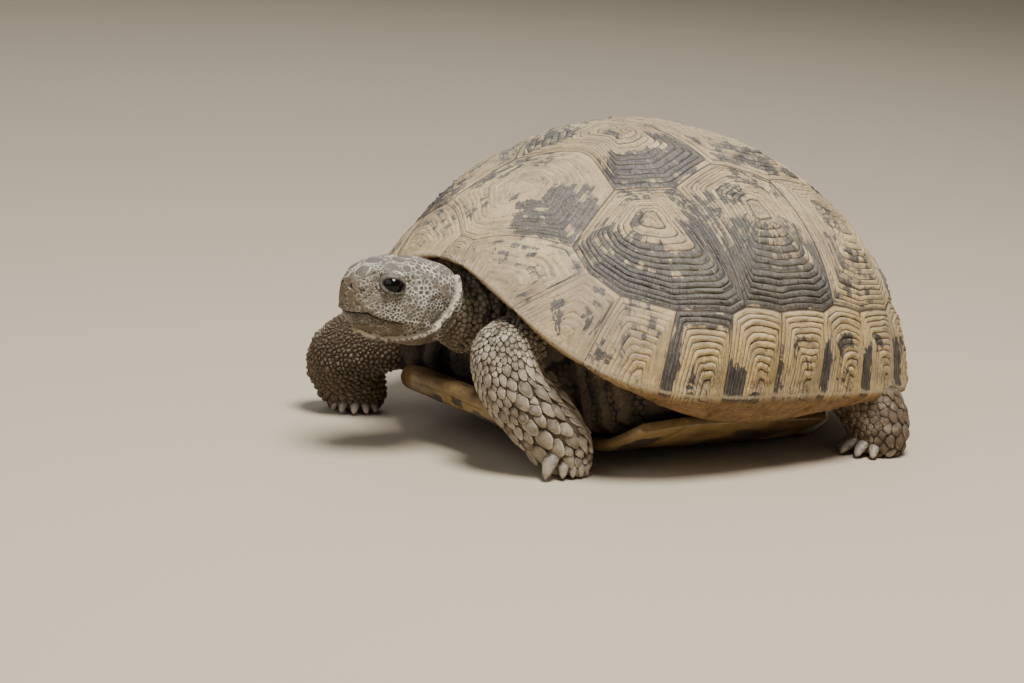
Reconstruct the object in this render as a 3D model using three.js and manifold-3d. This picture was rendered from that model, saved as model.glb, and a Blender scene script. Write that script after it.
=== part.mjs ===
// A spur-thighed tortoise, adult and life size, standing still on four feet.
// Millimetres. +Z is up, -Y is ahead and +X is the animal's left. The floor is at z = 0.
// The shell is built upright in its own group, which is then pitched, rolled and lifted on to the legs.

import * as THREE from 'three';
import { mergeVertices } from 'three/addons/utils/BufferGeometryUtils.js';
import Module from 'manifold-3d';

const wasm = await Module();
wasm.setup();

// ---------------------------------------------------------------- driving dimensions

const GAP = 0.4;               // clear space between neighbouring pieces
const PLATE = 3;               // bone and horn together, at a plate's middle

// The carapace: a dome whose rim and slopes change from front to side to rear.
const CARAPACE = {
  front: 71,                   // centre to the nuchal edge
  rear: 82.5,                  // centre to the edge over the tail
  half: 65.5,                  // half of the width
  flare: 0.02,                 // how much narrower it is ahead than behind
  squareness: 2.9,             // power of the plan's rounded outline
  crown: 85,                   // height of the top over the shell's own base
  rimHeight: { front: 45.5, side: 19, rear: 15 },
  rimSlope: { front: 60, side: 98.5, rear: 72 },       // degrees from level, at the rim
  crownPull: { front: 0.25, side: 0.54, rear: 0.54 },  // how far the flat of the crown reaches
  rimPull: { front: 0.39, side: 0.64, rear: 0.51 },    // how far up the wall the rim slope reaches
};
const RIM_HEIGHT_SHARP = 4.8;  // how quickly the front arch of the rim falls away
const RIM_SLOPE_SHARP = 2.8;

const SHELL_PITCH = 3.2;       // degrees, front up
const SHELL_ROLL = 2;          // degrees, left side down
const SHELL_LIFT = 5.3;

// Underside of the marginal plates, measured inwards from the rim.
const LIP_WIDTH = { front: 5, side: 13, rear: 6 };
const LIP_DROP = { front: -25, side: 42, rear: -15 };  // degrees below level

// How the plates share out the dome, on the disc that it is drawn from: x to the left, y to the rear,
// rim at radius 1. Headings are in degrees from straight ahead.
const MARGINALS = 11;          // down each side, between the nuchal and the supracaudal
const NUCHAL_HALF = 4;         // degrees of rim
const SUPRACAUDAL_HALF = 10;
const REAR_CROWDING = 0.19;    // how much the marginals narrow towards the rear
const COSTAL_RADIUS = 0.78;    // where the costals end and the marginals start
const NUCHAL_RADIUS = 0.86;
const NUCHAL_TAPER = 0.65;     // top width of the nuchal, as a share of its width at the rim
const FRONT_SLANT = 14;        // degrees that the first marginal's rear seam leans back
const FRONT_DIP = 0.05;        // how much further in that seam ends
const FRONT_FADE = 0.4;        // share of both that is left one marginal further on
const COSTAL_TIP = { heading: 29, radius: 0.68 };  // where costal 1 starts, on marginal 1
const COSTAL_SHARE = 0.3;      // a seam between costals meets a marginal this far along it,
const COSTAL_INSET = 0.02;     // in a small notch
// The back seams of the vertebrals stand evenly apart, and each plate is widest midway between two.
const VERTEBRAL = { front: -0.37, step: 0.33, half: 0.28, narrowing: 0.3, spike: 0.06 };

function discPoint(heading, radius) {
  const turn = THREE.MathUtils.degToRad(heading);
  return [radius * Math.sin(turn), -radius * Math.cos(turn)];
}
function rimSeam(k) {
  const share = k / MARGINALS;
  const span = 180 - NUCHAL_HALF - SUPRACAUDAL_HALF;
  return NUCHAL_HALF + span * (share + REAR_CROWDING * share * (1 - share));
}
function costalPoint(k) {
  if (k === 0) return discPoint(NUCHAL_HALF * NUCHAL_TAPER, NUCHAL_RADIUS);
  const fade = FRONT_FADE ** (k - 1);
  return discPoint(rimSeam(k) + FRONT_SLANT * fade, COSTAL_RADIUS - FRONT_DIP * fade);
}
function costalSeamEnd(marginal) {
  const heading = THREE.MathUtils.lerp(rimSeam(marginal - 1), rimSeam(marginal), COSTAL_SHARE);
  return discPoint(heading, COSTAL_RADIUS - COSTAL_INSET);
}
function vertebralCorner(k, spike) {
  const y = VERTEBRAL.front + VERTEBRAL.step * k;
  const offWidest = VERTEBRAL.step * (k - 1);
  return [VERTEBRAL.half - VERTEBRAL.narrowing * offWidest ** 2 + spike, y];
}
const seams = Array.from({ length: MARGINALS + 1 }, (_, k) => k);
const RIM_SEAMS = seams.map(rimSeam);
const COSTAL_LINE = seams.map(costalPoint);
// c1_m1 is where costal 1 starts on marginal 1, and so on.
const CORNER = {
  c1_m1: discPoint(COSTAL_TIP.heading, COSTAL_TIP.radius),
  c12_m5: costalSeamEnd(5), c23_m7: costalSeamEnd(7), c34_m9: costalSeamEnd(9), v5_m11: costalSeamEnd(11),
  v12: vertebralCorner(0, 0), v23: vertebralCorner(1, 0), v34: vertebralCorner(2, 0), v45: vertebralCorner(3, 0),
  c12: vertebralCorner(0.5, VERTEBRAL.spike), c23: vertebralCorner(1.5, VERTEBRAL.spike),
  c34: vertebralCorner(2.5, VERTEBRAL.spike),
};

// Plastron, in the shell's own frame.
const PLASTRON = {
  base: -1.2,                  // height of its flat middle
  edge: 54.4,                  // half width at the bridge
  flat: 36,                    // half width of the flat part
  bridgeRise: 11.2, bridgeCurve: 1.25,
  lipStart: -46, lipReach: 21, lipRise: 6.4, lipThick: 5,
  tailStart: 44, tailReach: 24, tailRise: 4,
  endCurve: 1.5,               // how late the two ends turn up
};

// Clear space kept between the shell and what lies inside it.
const SHELL_SPARE = 2 * GAP;   // how much fatter the shell is than its plates when it cuts a soft part
const TRUNK_SPARE = 2.5 * GAP; // trunk to carapace
const BELLY_SPARE = 3.5 * GAP; // trunk to plastron

// ---------------------------------------------------------------- making and cutting solids

const v3 = (x, y, z) => new THREE.Vector3(x, y, z);
const mix = (a, b, t) => a + (b - a) * t;
const clamp01 = (t) => Math.min(Math.max(t, 0), 1);
const smooth = (t) => { const s = clamp01(t); return s * s * (3 - 2 * s); };

// A closed, welded mesh whose faces look outwards.
function tidy(geometry) {
  geometry.deleteAttribute('normal');
  geometry.deleteAttribute('uv');
  const welded = mergeVertices(geometry, 1e-4);
  const at = welded.attributes.position;
  const index = Array.from(welded.index.array);
  const corner = [v3(), v3(), v3()];
  const kept = [];
  let volume = 0;
  for (let i = 0; i < index.length; i += 3) {
    const [a, b, c] = index.slice(i, i + 3);
    if (a === b || b === c || c === a) continue;
    corner.forEach((point, k) => point.fromBufferAttribute(at, index[i + k]));
    volume += corner[0].dot(corner[1].clone().cross(corner[2]));
    kept.push(a, b, c);
  }
  if (volume < 0) {
    for (let i = 0; i < kept.length; i += 3) [kept[i], kept[i + 1]] = [kept[i + 1], kept[i]];
  }
  welded.setIndex(kept);
  return welded;
}

function toSolid(geometry) {
  return new wasm.Manifold(new wasm.Mesh({
    numProp: 3,
    vertProperties: new Float32Array(geometry.attributes.position.array),
    triVerts: new Uint32Array(geometry.index.array),
  }));
}

function fromSolid(solid) {
  const mesh = solid.getMesh();
  const geometry = new THREE.BufferGeometry();
  geometry.setAttribute('position', new THREE.BufferAttribute(new Float32Array(mesh.vertProperties), 3));
  geometry.setIndex(Array.from(mesh.triVerts));
  return geometry;
}

const joined = (...geometries) => fromSolid(geometries.map(toSolid).reduce((all, one) => all.add(one)));
const cut = (geometry, ...tools) => fromSolid(
  tools.map(toSolid).reduce((left, tool) => left.subtract(tool), toSolid(geometry)));

// A box drawn out into a plate: outer(u, v) and inner(u, v) are its two faces.
function plate(columns, rows, outer, inner) {
  const geometry = new THREE.BoxGeometry(1, 1, 1, columns, rows, 1);
  const at = geometry.attributes.position;
  for (let i = 0; i < at.count; i += 1) {
    const face = at.getZ(i) > 0 ? outer : inner;
    const point = face(at.getX(i) + 0.5, at.getY(i) + 0.5);
    at.setXYZ(i, point.x, point.y, point.z);
  }
  return tidy(geometry);
}

// A ball drawn out along a bent centre line. Each station gives the centre, the half width and the
// heights above and below the line; side is the direction of the width, square how boxy the section
// is and blunt how full the ends are. grow makes it fatter all round, to cut a neighbour with a gap.
function limb(stations, { around = 16, along = 12, side = [1, 0, 0], blunt = 3, square = 2, grow = 0 } = {}) {
  const line = new THREE.CatmullRomCurve3(stations.map(({ at: [x, y, z] }) => v3(x, y, z)));
  const sizeAt = (t, key) => {
    const k = Math.min(Math.floor(t * (stations.length - 1)), stations.length - 2);
    return mix(stations[k][key], stations[k + 1][key], smooth(t * (stations.length - 1) - k)) + grow;
  };
  const boxy = (value) => Math.sign(value) * Math.abs(value) ** (2 / square);
  const first = v3(...side);
  const geometry = new THREE.SphereGeometry(1, around, along);
  const at = geometry.attributes.position;
  for (let i = 0; i < at.count; i += 1) {
    const t = clamp01((1 - at.getY(i)) / 2);
    const turn = Math.atan2(at.getZ(i), at.getX(i));
    const isPole = Math.hypot(at.getX(i), at.getZ(i)) < 1e-6;
    const end = isPole ? 0 : (1 - Math.abs(2 * t - 1) ** blunt) ** (1 / blunt);
    const tangent = line.getTangent(t);
    const across = first.clone().addScaledVector(tangent, -first.dot(tangent)).normalize();
    const over = tangent.clone().cross(across);
    const height = Math.sin(turn) > 0 ? sizeAt(t, 'up') : sizeAt(t, 'down');
    const point = line.getPoint(t)
      .addScaledVector(tangent, grow * (2 * t - 1))
      .addScaledVector(across, boxy(Math.cos(turn)) * end * sizeAt(t, 'wide'))
      .addScaledVector(over, boxy(Math.sin(turn)) * end * height);
    at.setXYZ(i, point.x, point.y, point.z);
  }
  return tidy(geometry);
}
const station = (x, y, z, wide, up, down = up) => ({ at: [x, y, z], wide, up, down });

// ---------------------------------------------------------------- the dome of the carapace

const bezier = (a, b, c, d, t) => {
  const s = 1 - t;
  return s * s * s * a + 3 * s * s * t * b + 3 * s * t * t * c + t * t * t * d;
};

function blend(value, heading, sharp = 2) {
  const front = Math.max(Math.cos(heading), 0) ** sharp;
  const rear = Math.max(-Math.cos(heading), 0) ** 2;
  return value.front * front + value.rear * rear + value.side * (1 - front - rear);
}

// A point of the disc, lifted on to the outer face of the dome.
function domeAt([x, y]) {
  const heading = Math.atan2(x, -y);
  const out = Math.hypot(x, y);
  const c = CARAPACE;
  const long = Math.cos(heading) > 0 ? c.front : c.rear;
  const wide = c.half * (1 - c.flare * Math.cos(heading));
  const plan = (Math.abs(Math.sin(heading)) / wide) ** c.squareness
    + (Math.abs(Math.cos(heading)) / long) ** c.squareness;
  const rim = plan ** (-1 / c.squareness);
  const low = blend(c.rimHeight, heading, RIM_HEIGHT_SHARP);
  const slope = THREE.MathUtils.degToRad(blend(c.rimSlope, heading, RIM_SLOPE_SHARP));
  const wall = blend(c.rimPull, heading) * (c.crown - low);
  const spread = bezier(0, blend(c.crownPull, heading) * rim, rim - wall / Math.tan(slope), rim, out);
  const height = bezier(c.crown, c.crown, low + wall, low, out);
  return v3(spread * Math.sin(heading), -spread * Math.cos(heading), height);
}

function domeNormal([x, y]) {
  const step = 0.01;
  const dx = domeAt([x + step, y]).sub(domeAt([x - step, y]));
  const dy = domeAt([x, y + step]).sub(domeAt([x, y - step]));
  return dx.cross(dy).normalize();
}

const domeUnder = (disc, depth) => domeAt(disc).addScaledVector(domeNormal(disc), -depth);

// ---------------------------------------------------------------- plates of the carapace

const mirror = ([x, y]) => [-x, y];
const between = (a, b, t) => [mix(a[0], b[0], t), mix(a[1], b[1], t)];

// Walks a line of corners, each stretch taking the same share.
function walk(corners) {
  return (t) => {
    const stretches = corners.length - 1;
    const k = Math.min(Math.floor(t * stretches + 1e-9), stretches - 1);
    return between(corners[k], corners[k + 1], t * stretches - k);
  };
}

// Fills four edges of the disc: front and back run left to right, near and far run front to back.
function patch(front, back, near, far) {
  return (u, v) => [0, 1].map((k) => mix(front(u)[k], back(u)[k], v) + mix(near(v)[k], far(v)[k], u)
    - mix(mix(front(0)[k], front(1)[k], u), mix(back(0)[k], back(1)[k], u), v));
}

// Half the gap is taken off every edge.
function trimmed(fill, [width, length]) {
  const du = GAP / 2 / width;
  const dv = GAP / 2 / length;
  return (u, v) => fill(mix(du, 1 - du, u), mix(dv, 1 - dv, v));
}

// size is the plate's rough width and length, which set how much the gap takes off it.
function scute(columns, rows, fill, size) {
  const disc = trimmed(fill, size);
  return plate(columns, rows, (u, v) => domeAt(disc(u, v)), (u, v) => domeUnder(disc(u, v), PLATE));
}

// Five vertebrals along the back, each from its front seam to its back seam.
const VERTEBRAL_FRONTS = [
  [CORNER.c1_m1, COSTAL_LINE[0], mirror(COSTAL_LINE[0]), mirror(CORNER.c1_m1)],
  [CORNER.v12, mirror(CORNER.v12)],
  [CORNER.v23, mirror(CORNER.v23)],
  [CORNER.v34, mirror(CORNER.v34)],
  [CORNER.v45, mirror(CORNER.v45)],
  [CORNER.v5_m11, COSTAL_LINE[11], mirror(COSTAL_LINE[11]), mirror(CORNER.v5_m11)],
];
const VERTEBRAL_SIDES = [
  [CORNER.c1_m1, CORNER.v12],
  [CORNER.v12, CORNER.c12, CORNER.v23],
  [CORNER.v23, CORNER.c23, CORNER.v34],
  [CORNER.v34, CORNER.c34, CORNER.v45],
  [CORNER.v45, CORNER.v5_m11],
];
function vertebral(number) {
  const side = VERTEBRAL_SIDES[number];
  const fill = patch(walk(VERTEBRAL_FRONTS[number]), walk(VERTEBRAL_FRONTS[number + 1]),
    walk(side), walk(side.map(mirror)));
  return scute(6, 4, fill, [38, 30]);
}

// Four costals down each side: the top seam follows the vertebrals, the bottom seam the marginals.
const COSTAL_TOPS = [
  [CORNER.c1_m1, CORNER.v12, CORNER.c12],
  [CORNER.c12, CORNER.v23, CORNER.c23],
  [CORNER.c23, CORNER.v34, CORNER.c34],
  [CORNER.c34, CORNER.v45, CORNER.v5_m11],
];
const COSTAL_BOTTOMS = [
  [CORNER.c1_m1, ...COSTAL_LINE.slice(1, 5), CORNER.c12_m5],
  [CORNER.c12_m5, ...COSTAL_LINE.slice(5, 7), CORNER.c23_m7],
  [CORNER.c23_m7, ...COSTAL_LINE.slice(7, 9), CORNER.c34_m9],
  [CORNER.c34_m9, ...COSTAL_LINE.slice(9, 11), CORNER.v5_m11],
];
function costal(number, flip) {
  const top = COSTAL_TOPS[number];
  const bottom = COSTAL_BOTTOMS[number];
  const isFirst = number === 0;
  const isLast = number === 3;
  // The first costal comes to a point at marginal 1 and the last at marginal 11, so their
  // vertebral seams stand in for the missing front and rear edges.
  const upper = isFirst ? top.slice(1) : isLast ? top.slice(0, 2) : top;
  const front = isFirst ? [bottom[0], top[1]] : [bottom[0], top[0]];
  const rear = isLast ? [bottom[bottom.length - 1], top[1]] : [bottom[bottom.length - 1], top[2]];
  const side = (corners) => walk(flip ? corners.map(mirror) : corners);
  const fill = patch(side(bottom), side(upper), side(front), side(rear));
  return scute(isFirst ? 5 : 6, 5, fill, [40, 40]);
}

// The underside of the rim, from the edge inwards.
function lipAt(heading, share) {
  const edge = [Math.sin(heading), -Math.cos(heading)];
  const drop = THREE.MathUtils.degToRad(blend(LIP_DROP, heading));
  const reach = blend(LIP_WIDTH, heading) * share;
  const inwards = v3(-edge[0], -edge[1], 0).multiplyScalar(Math.cos(drop) * reach);
  return domeAt(edge).add(inwards).add(v3(0, 0, -Math.sin(drop) * reach));
}

// A rim plate: a wedge, thin where it meets the costals and as deep as the lip at the rim.
const RIM_PLATE_SIZE = { length: 18, height: 24 };
const UNDERCUT = 3;            // how late the wedge swells on its way down to the lip
function rimPlate(tops, from, to, columns) {
  const top = walk(tops);
  const { length, height } = RIM_PLATE_SIZE;
  const trim = (t, size) => mix(GAP / 2 / size, 1 - GAP / 2 / size, t);
  const headingAt = (u) => THREE.MathUtils.degToRad(mix(from, to, trim(u, length)));
  const edge = (u) => [Math.sin(headingAt(u)), -Math.cos(headingAt(u))];
  const down = (v) => GAP / 2 / height + v * (1 - GAP / 2 / height);
  const disc = (u, v) => between(top(trim(u, length)), edge(u), down(v));
  const inner = (u, v) => {
    const shift = lipAt(headingAt(u), 1).sub(domeAt(edge(u))).multiplyScalar(v ** UNDERCUT);
    return domeUnder(disc(u, v), PLATE * (1 - v ** UNDERCUT)).add(shift);
  };
  return plate(columns, 4, (u, v) => domeAt(disc(u, v)), inner);
}

// Marginals whose top edge has a corner, where two inner plates meet it.
const SPLIT_TOPS = {
  1: CORNER.c1_m1, 5: CORNER.c12_m5, 7: CORNER.c23_m7, 9: CORNER.c34_m9, 11: CORNER.v5_m11,
};
function marginal(number, flip) {
  const ends = [COSTAL_LINE[number - 1], COSTAL_LINE[number]];
  const tops = SPLIT_TOPS[number] ? [ends[0], SPLIT_TOPS[number], ends[1]] : ends;
  const sign = flip ? -1 : 1;
  return rimPlate(flip ? tops.map(mirror) : tops, sign * RIM_SEAMS[number - 1], sign * RIM_SEAMS[number], 2);
}

const nuchal = () => rimPlate([COSTAL_LINE[0], mirror(COSTAL_LINE[0])], RIM_SEAMS[0], -RIM_SEAMS[0], 2);
const supracaudal = () => rimPlate(
  [COSTAL_LINE[11], mirror(COSTAL_LINE[11])], RIM_SEAMS[11], 360 - RIM_SEAMS[11], 4);

// ---------------------------------------------------------------- plates of the plastron

// Height of the plastron's outer face, above a point of its plan.
function plastronHeight(x, y) {
  const p = PLASTRON;
  const bridge = clamp01((Math.abs(x) - p.flat) / (p.edge - p.flat)) ** p.bridgeCurve * p.bridgeRise;
  const lip = clamp01((p.lipStart - y) / p.lipReach) ** p.endCurve * p.lipRise;
  const tail = clamp01((y - p.tailStart) / p.tailReach) ** p.endCurve * p.tailRise;
  return p.base + bridge + lip + tail;
}

function plastronUnder(x, y, depth) {
  const step = 0.1;
  const slopeX = (plastronHeight(x + step, y) - plastronHeight(x - step, y)) / (2 * step);
  const slopeY = (plastronHeight(x, y + step) - plastronHeight(x, y - step)) / (2 * step);
  return v3(x, y, plastronHeight(x, y)).addScaledVector(v3(-slopeX, -slopeY, 1).normalize(), depth);
}

// Left half outlines, as corners: the midline from front to rear, then the free edge.
const PLASTRON_PLATES = {
  gular: { midline: [-67.5, -57], edge: [[17, -67], [26, -63.5]] },
  humeral: { midline: [-57, -37], edge: [[26, -63.5], [34, -53], [34.5, -39]] },
  pectoral: { midline: [-37, -25], front: [34.5, -39], edge: [[51.5, -37.5], [54.4, -24]] },
  abdominal: { midline: [-25, 22], edge: [[54.4, -24], [54.4, 0], [53.4, 33]], rear: [36, 36] },
  femoral: { midline: [22, 45], front: [36, 36], edge: [[36, 36], [36.5, 46], [32, 56]] },
  anal: { midline: [45, 60], edge: [[32, 56], [24, 64], [11, 68]] },
};

const lipDepth = (y) => PLATE + PLASTRON.lipThick * clamp01((PLASTRON.lipStart - y) / PLASTRON.lipReach);

function plastronPlate(name, flip) {
  const { midline, front, edge, rear } = PLASTRON_PLATES[name];
  const middle = midline.map((y) => [0, y]);
  const last = edge[edge.length - 1];
  const frontEdge = front ? [middle[0], front, edge[0]] : [middle[0], edge[0]];
  const rearEdge = rear ? [middle[1], rear, last] : [middle[1], last];
  const fill = trimmed(patch(walk(middle), walk(edge), walk(frontEdge), walk(rearEdge)), [20, 30]);
  const spot = (u, v) => {
    const [x, y] = fill(u, v);
    return [flip ? -x : x, y];
  };
  return plate(4, 4, (u, v) => plastronUnder(...spot(u, v), 0),
    (u, v) => plastronUnder(...spot(u, v), lipDepth(spot(u, v)[1])));
}

// ---------------------------------------------------------------- shell placed over the legs

const rad = THREE.MathUtils.degToRad;
const shell = new THREE.Group();
shell.rotation.set(-rad(SHELL_PITCH), rad(SHELL_ROLL), 0, 'YXZ');
shell.position.set(0, 0, SHELL_LIFT);
shell.updateMatrixWorld();

// A ball drawn out by rings: ring(heading, share) runs from the top pole (0) to the bottom pole (1).
function wrapped(around, rings, ring) {
  const geometry = new THREE.SphereGeometry(1, around, rings);
  const at = geometry.attributes.position;
  for (let i = 0; i < at.count; i += 1) {
    const share = Math.acos(Math.min(Math.max(at.getY(i), -1), 1)) / Math.PI;
    const isPole = Math.hypot(at.getX(i), at.getZ(i)) < 1e-6;
    const point = ring(isPole ? 0 : Math.atan2(at.getZ(i), at.getX(i)), share);
    at.setXYZ(i, point.x, point.y, point.z);
  }
  return tidy(geometry).applyMatrix4(shell.matrixWorld);
}

// The whole carapace as one bowl, and the whole plastron as one tray, each a little fatter than the
// plates: the soft parts are cut by them.
function shellBowl() {
  const rings = 16;
  const rimShare = 8 / rings;
  const lipShare = 9 / rings;
  const same = 1e-6;
  const lipReach = 1.06;       // a little past the lip's inner edge
  const innerEdge = 0.86;      // where the inside of the bowl starts, on the disc
  const below = v3(0, 0, -SHELL_SPARE);
  return wrapped(3 * rings, rings, (heading, share) => {
    const edge = (out) => [out * Math.sin(heading), -out * Math.cos(heading)];
    if (share < rimShare - same) return domeUnder(edge(share / rimShare), -SHELL_SPARE);
    if (share < rimShare + same) return domeUnder(edge(1), -SHELL_SPARE).add(below);
    if (share < lipShare + same) return lipAt(heading, lipReach).add(below);
    return domeUnder(edge(innerEdge * (1 - share) / (1 - lipShare)), PLATE + GAP);
  });
}

// Rows of the tray: how far back, and half the width there.
const TRAY_ROWS = [
  [-68.6, 18.2], [-63.8, 27.4], [-53, 35.4], [-38.6, 36], [-38.4, 52.6], [-24, 55.8], [33.8, 55.4],
  [37.6, 37.6], [46, 38], [56, 33.6], [64, 25.6], [69, 12.6],
];
function plastronTray() {
  const spot = (u, v) => {
    const [y, half] = walk(TRAY_ROWS)(v);
    return [mix(-half, half, u), y];
  };
  const outer = (u, v) => plastronUnder(...spot(u, v), -SHELL_SPARE);
  const inner = (u, v) => plastronUnder(...spot(u, v), lipDepth(spot(u, v)[1]) + SHELL_SPARE);
  return plate(10, TRAY_ROWS.length - 1, outer, inner).applyMatrix4(shell.matrixWorld);
}

// ---------------------------------------------------------------- soft body

// The trunk fills the shell up to its two openings. spare shrinks or swells it.
const TRUNK_OUT = 0.74;        // how far out on the dome's disc the trunk reaches
const TRUNK_WAIST = 0.88;      // its underside, narrower than its widest ring
function trunkShape(spare) {
  const widest = 0.6;
  const belly = 0.78;
  return wrapped(26, 14, (heading, share) => {
    const edge = (out) => [out * Math.sin(heading), -out * Math.cos(heading)];
    const depth = PLATE + TRUNK_SPARE - spare;
    if (share <= widest) return domeUnder(edge(TRUNK_OUT * share / widest), depth);
    const side = domeUnder(edge(TRUNK_OUT), depth);
    const inwards = share < belly ? mix(1, TRUNK_WAIST, (share - widest) / (belly - widest))
      : TRUNK_WAIST * (1 - share) / (1 - belly);
    const x = side.x * inwards;
    const y = side.y * inwards;
    const floor = plastronHeight(x, y) + lipDepth(y) + BELLY_SPARE - spare;
    const down = share < belly ? (share - widest) / (belly - widest) : 1;
    return v3(x, y, mix(side.z, floor, down));
  });
}
const trunk = trunkShape(0);
const trunkTool = trunkShape(GAP);
const shellTools = [shellBowl(), plastronTray()];

// The head is turned a little to the animal's right. Its stations run from nape to snout.
const HEAD = [
  station(1, -65.5, 45, 8.5, 7.8, 12),
  station(0.5, -71, 45.4, 11, 9.5, 14.2),
  station(-0.1, -79, 45.8, 11.4, 11, 14.6),
  station(-0.9, -87, 46.4, 10.4, 11, 13.4),
  station(-1.7, -95, 46.8, 8.6, 10, 11.6),
  station(-2.3, -101.6, 47, 6.4, 8.6, 9.4),
];
const headShape = (grow) => limb(HEAD, { around: 20, along: 14, blunt: 3.6, square: 2.4, grow });

const EYE = { radius: 3.5, ahead: -90.3, height: 50.5, axis: -1.2, aside: 7 };
function eyeBall(sign, grow) {
  const ball = new THREE.SphereGeometry(EYE.radius + grow, 12, 8);
  ball.translate(EYE.axis + sign * EYE.aside, EYE.ahead, EYE.height);
  return tidy(ball);
}

const NECK = [
  station(0, -34, 38, 15, 13),
  station(0, -48, 39, 15, 12, 13),
  station(0.3, -60, 41.5, 12.5, 10, 14),
  station(0.6, -71, 43.5, 9.8, 9, 14),
];
const neckShape = (grow) => limb(NECK, { along: 8, grow });

const TAIL = [
  station(0, 56, 15, 5.4, 5),
  station(1, 67, 13.4, 4.6, 4.2),
  station(4, 76, 11.4, 4, 3.6),
  station(8, 82, 9.4, 3.2, 3),
  station(11, 86, 8, 2.2, 2),
];

// Legs: the stations run from inside the shell to the sole. face is the direction of the broad side.
// Claws fan out round the foot, first to last, and turn down to the floor.
const LEGS = {
  fore_leg_left: {
    stations: [
      station(20, -34, 33, 9.5, 9), station(21, -52, 34.5, 9.5, 8.5), station(25.5, -65.5, 33.5, 10, 8.8),
      station(29.5, -66, 25.5, 9.8, 8.4), station(33.8, -59.5, 16.5, 9.8, 8.4),
      station(36.5, -52.5, 8.5, 9.8, 8.6), station(37.5, -49, -3, 9.2, 8.4),
    ],
    face: [0.665, 0.746, 0],
    foot: [36.8, -51], reach: 7.6, claws: { from: 4, to: 96, count: 5, long: 6.5, thick: 2.1 },
  },
  fore_leg_right: {
    stations: [
      station(-20, -34, 29, 9.5, 9), station(-31, -52, 26.2, 10.5, 9.8), station(-41.5, -65.5, 21.8, 10.8, 9.2),
      station(-46, -68, 16.4, 11, 8.8), station(-48, -64, 10.4, 11, 8.8),
      station(-49, -60, 4.5, 10.4, 8.8), station(-49, -58.5, -3, 9.4, 8.4),
    ],
    face: [0.665, 0.746, 0],
    foot: [-49, -59.5], reach: 7.6, claws: { from: -2, to: 98, count: 5, long: 6, thick: 2 },
  },
  hind_leg_left: {
    stations: [
      station(24, 34, 27, 11, 11), station(40, 41, 26, 11, 10.5), station(51, 46, 20, 10.5, 10.5),
      station(56.5, 49, 12, 10, 10), station(58.5, 50, 5, 9.8, 9.8), station(58.5, 50, -3, 9, 9),
    ],
    face: [0, 1, 0],
    foot: [58.5, 49.5], reach: 7.4, claws: { from: -35, to: 40, count: 4, long: 5.5, thick: 2 },
  },
  hind_leg_right: {
    stations: [
      station(-24, 38, 27, 11, 11), station(-37, 48, 25, 11, 10.5), station(-46, 56, 19, 10.5, 10.5),
      station(-51, 61, 12, 10, 10), station(-52.5, 62.5, 5, 9.8, 9.8), station(-52.5, 62.5, -3, 9, 9),
    ],
    face: [0, 1, 0],
    foot: [-52.5, 62], reach: 7.4, claws: { from: -40, to: 35, count: 4, long: 5.5, thick: 2 },
  },
};

// How a claw bends down and tapers: the share of its length, the height there and the share of its
// thickness. Its root is buried in the toe and its tip rests on the floor.
const CLAW_BEND = [[0.45, 3.6, 0.85], [0.85, 1.4, 0.5]];
const CLAW_ROOT = { buried: 2, height: 5 };
const CLAW_TIP = { height: 0.5, radius: 0.4 };
function claw([x, y], reach, heading, long, thick) {
  // heading is measured from straight ahead towards the animal's left
  const ahead = [Math.sin(rad(heading)), -Math.cos(rad(heading))];
  const spot = (out, z, size) => station(x + ahead[0] * out, y + ahead[1] * out, z, size, size);
  const line = [
    spot(reach - CLAW_ROOT.buried, CLAW_ROOT.height, thick),
    ...CLAW_BEND.map(([share, height, size]) => spot(reach + long * share, height, thick * size)),
    spot(reach + long, CLAW_TIP.height, CLAW_TIP.radius),
  ];
  return limb(line, { around: 6, along: 5, side: [-ahead[1], ahead[0], 0], blunt: 2.4 });
}
// The claws of one foot: the third is the longest and the outer ones are shorter.
const longestAt = 0.35;
const clawLength = (long, share) => long * (1 - 0.5 * Math.abs(share - longestAt));

const FLOOR_BLOCK = { wide: 400, deep: 60 };
const floorTool = tidy(new THREE.BoxGeometry(FLOOR_BLOCK.wide, FLOOR_BLOCK.wide, FLOOR_BLOCK.deep)
  .translate(0, 0, -FLOOR_BLOCK.deep / 2));
const headTool = headShape(GAP);
const neckTool = neckShape(GAP);

function leg({ stations, face, foot, reach, claws }) {
  const fan = Array.from({ length: claws.count }, (_, k) => {
    const share = k / (claws.count - 1);
    return claw(foot, reach, mix(claws.from, claws.to, share), clawLength(claws.long, share), claws.thick);
  });
  const whole = joined(limb(stations, { around: 15, side: face }), ...fan);
  return cut(whole, trunkTool, headTool, neckTool, ...shellTools, floorTool);
}

// ---------------------------------------------------------------- the animal

const finish = (color, roughness) => new THREE.MeshStandardMaterial({ color, roughness, metalness: 0 });
const HORN = finish(0xb29a70, 0.6);
const BELLY_HORN = finish(0x84683c, 0.55);
const SKIN = finish(0x8c8370, 0.8);
const EYE_GLOSS = finish(0x120d0a, 0.08);

const tortoise = new THREE.Group();
tortoise.add(shell);
function add(parent, name, geometry, material) {
  const mesh = new THREE.Mesh(geometry, material);
  mesh.name = name;
  parent.add(mesh);
}

VERTEBRAL_SIDES.forEach((_, k) => add(shell, `vertebral_${k + 1}`, vertebral(k), HORN));
add(shell, 'nuchal', nuchal(), HORN);
add(shell, 'supracaudal', supracaudal(), HORN);
for (const [side, flip] of [['left', false], ['right', true]]) {
  COSTAL_TOPS.forEach((_, k) => add(shell, `costal_${side}_${k + 1}`, costal(k, flip), HORN));
  for (let number = 1; number < RIM_SEAMS.length; number += 1) {
    add(shell, `marginal_${side}_${number}`, marginal(number, flip), HORN);
  }
  for (const name of Object.keys(PLASTRON_PLATES)) {
    add(shell, `${name}_${side}`, plastronPlate(name, flip), BELLY_HORN);
  }
}

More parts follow.
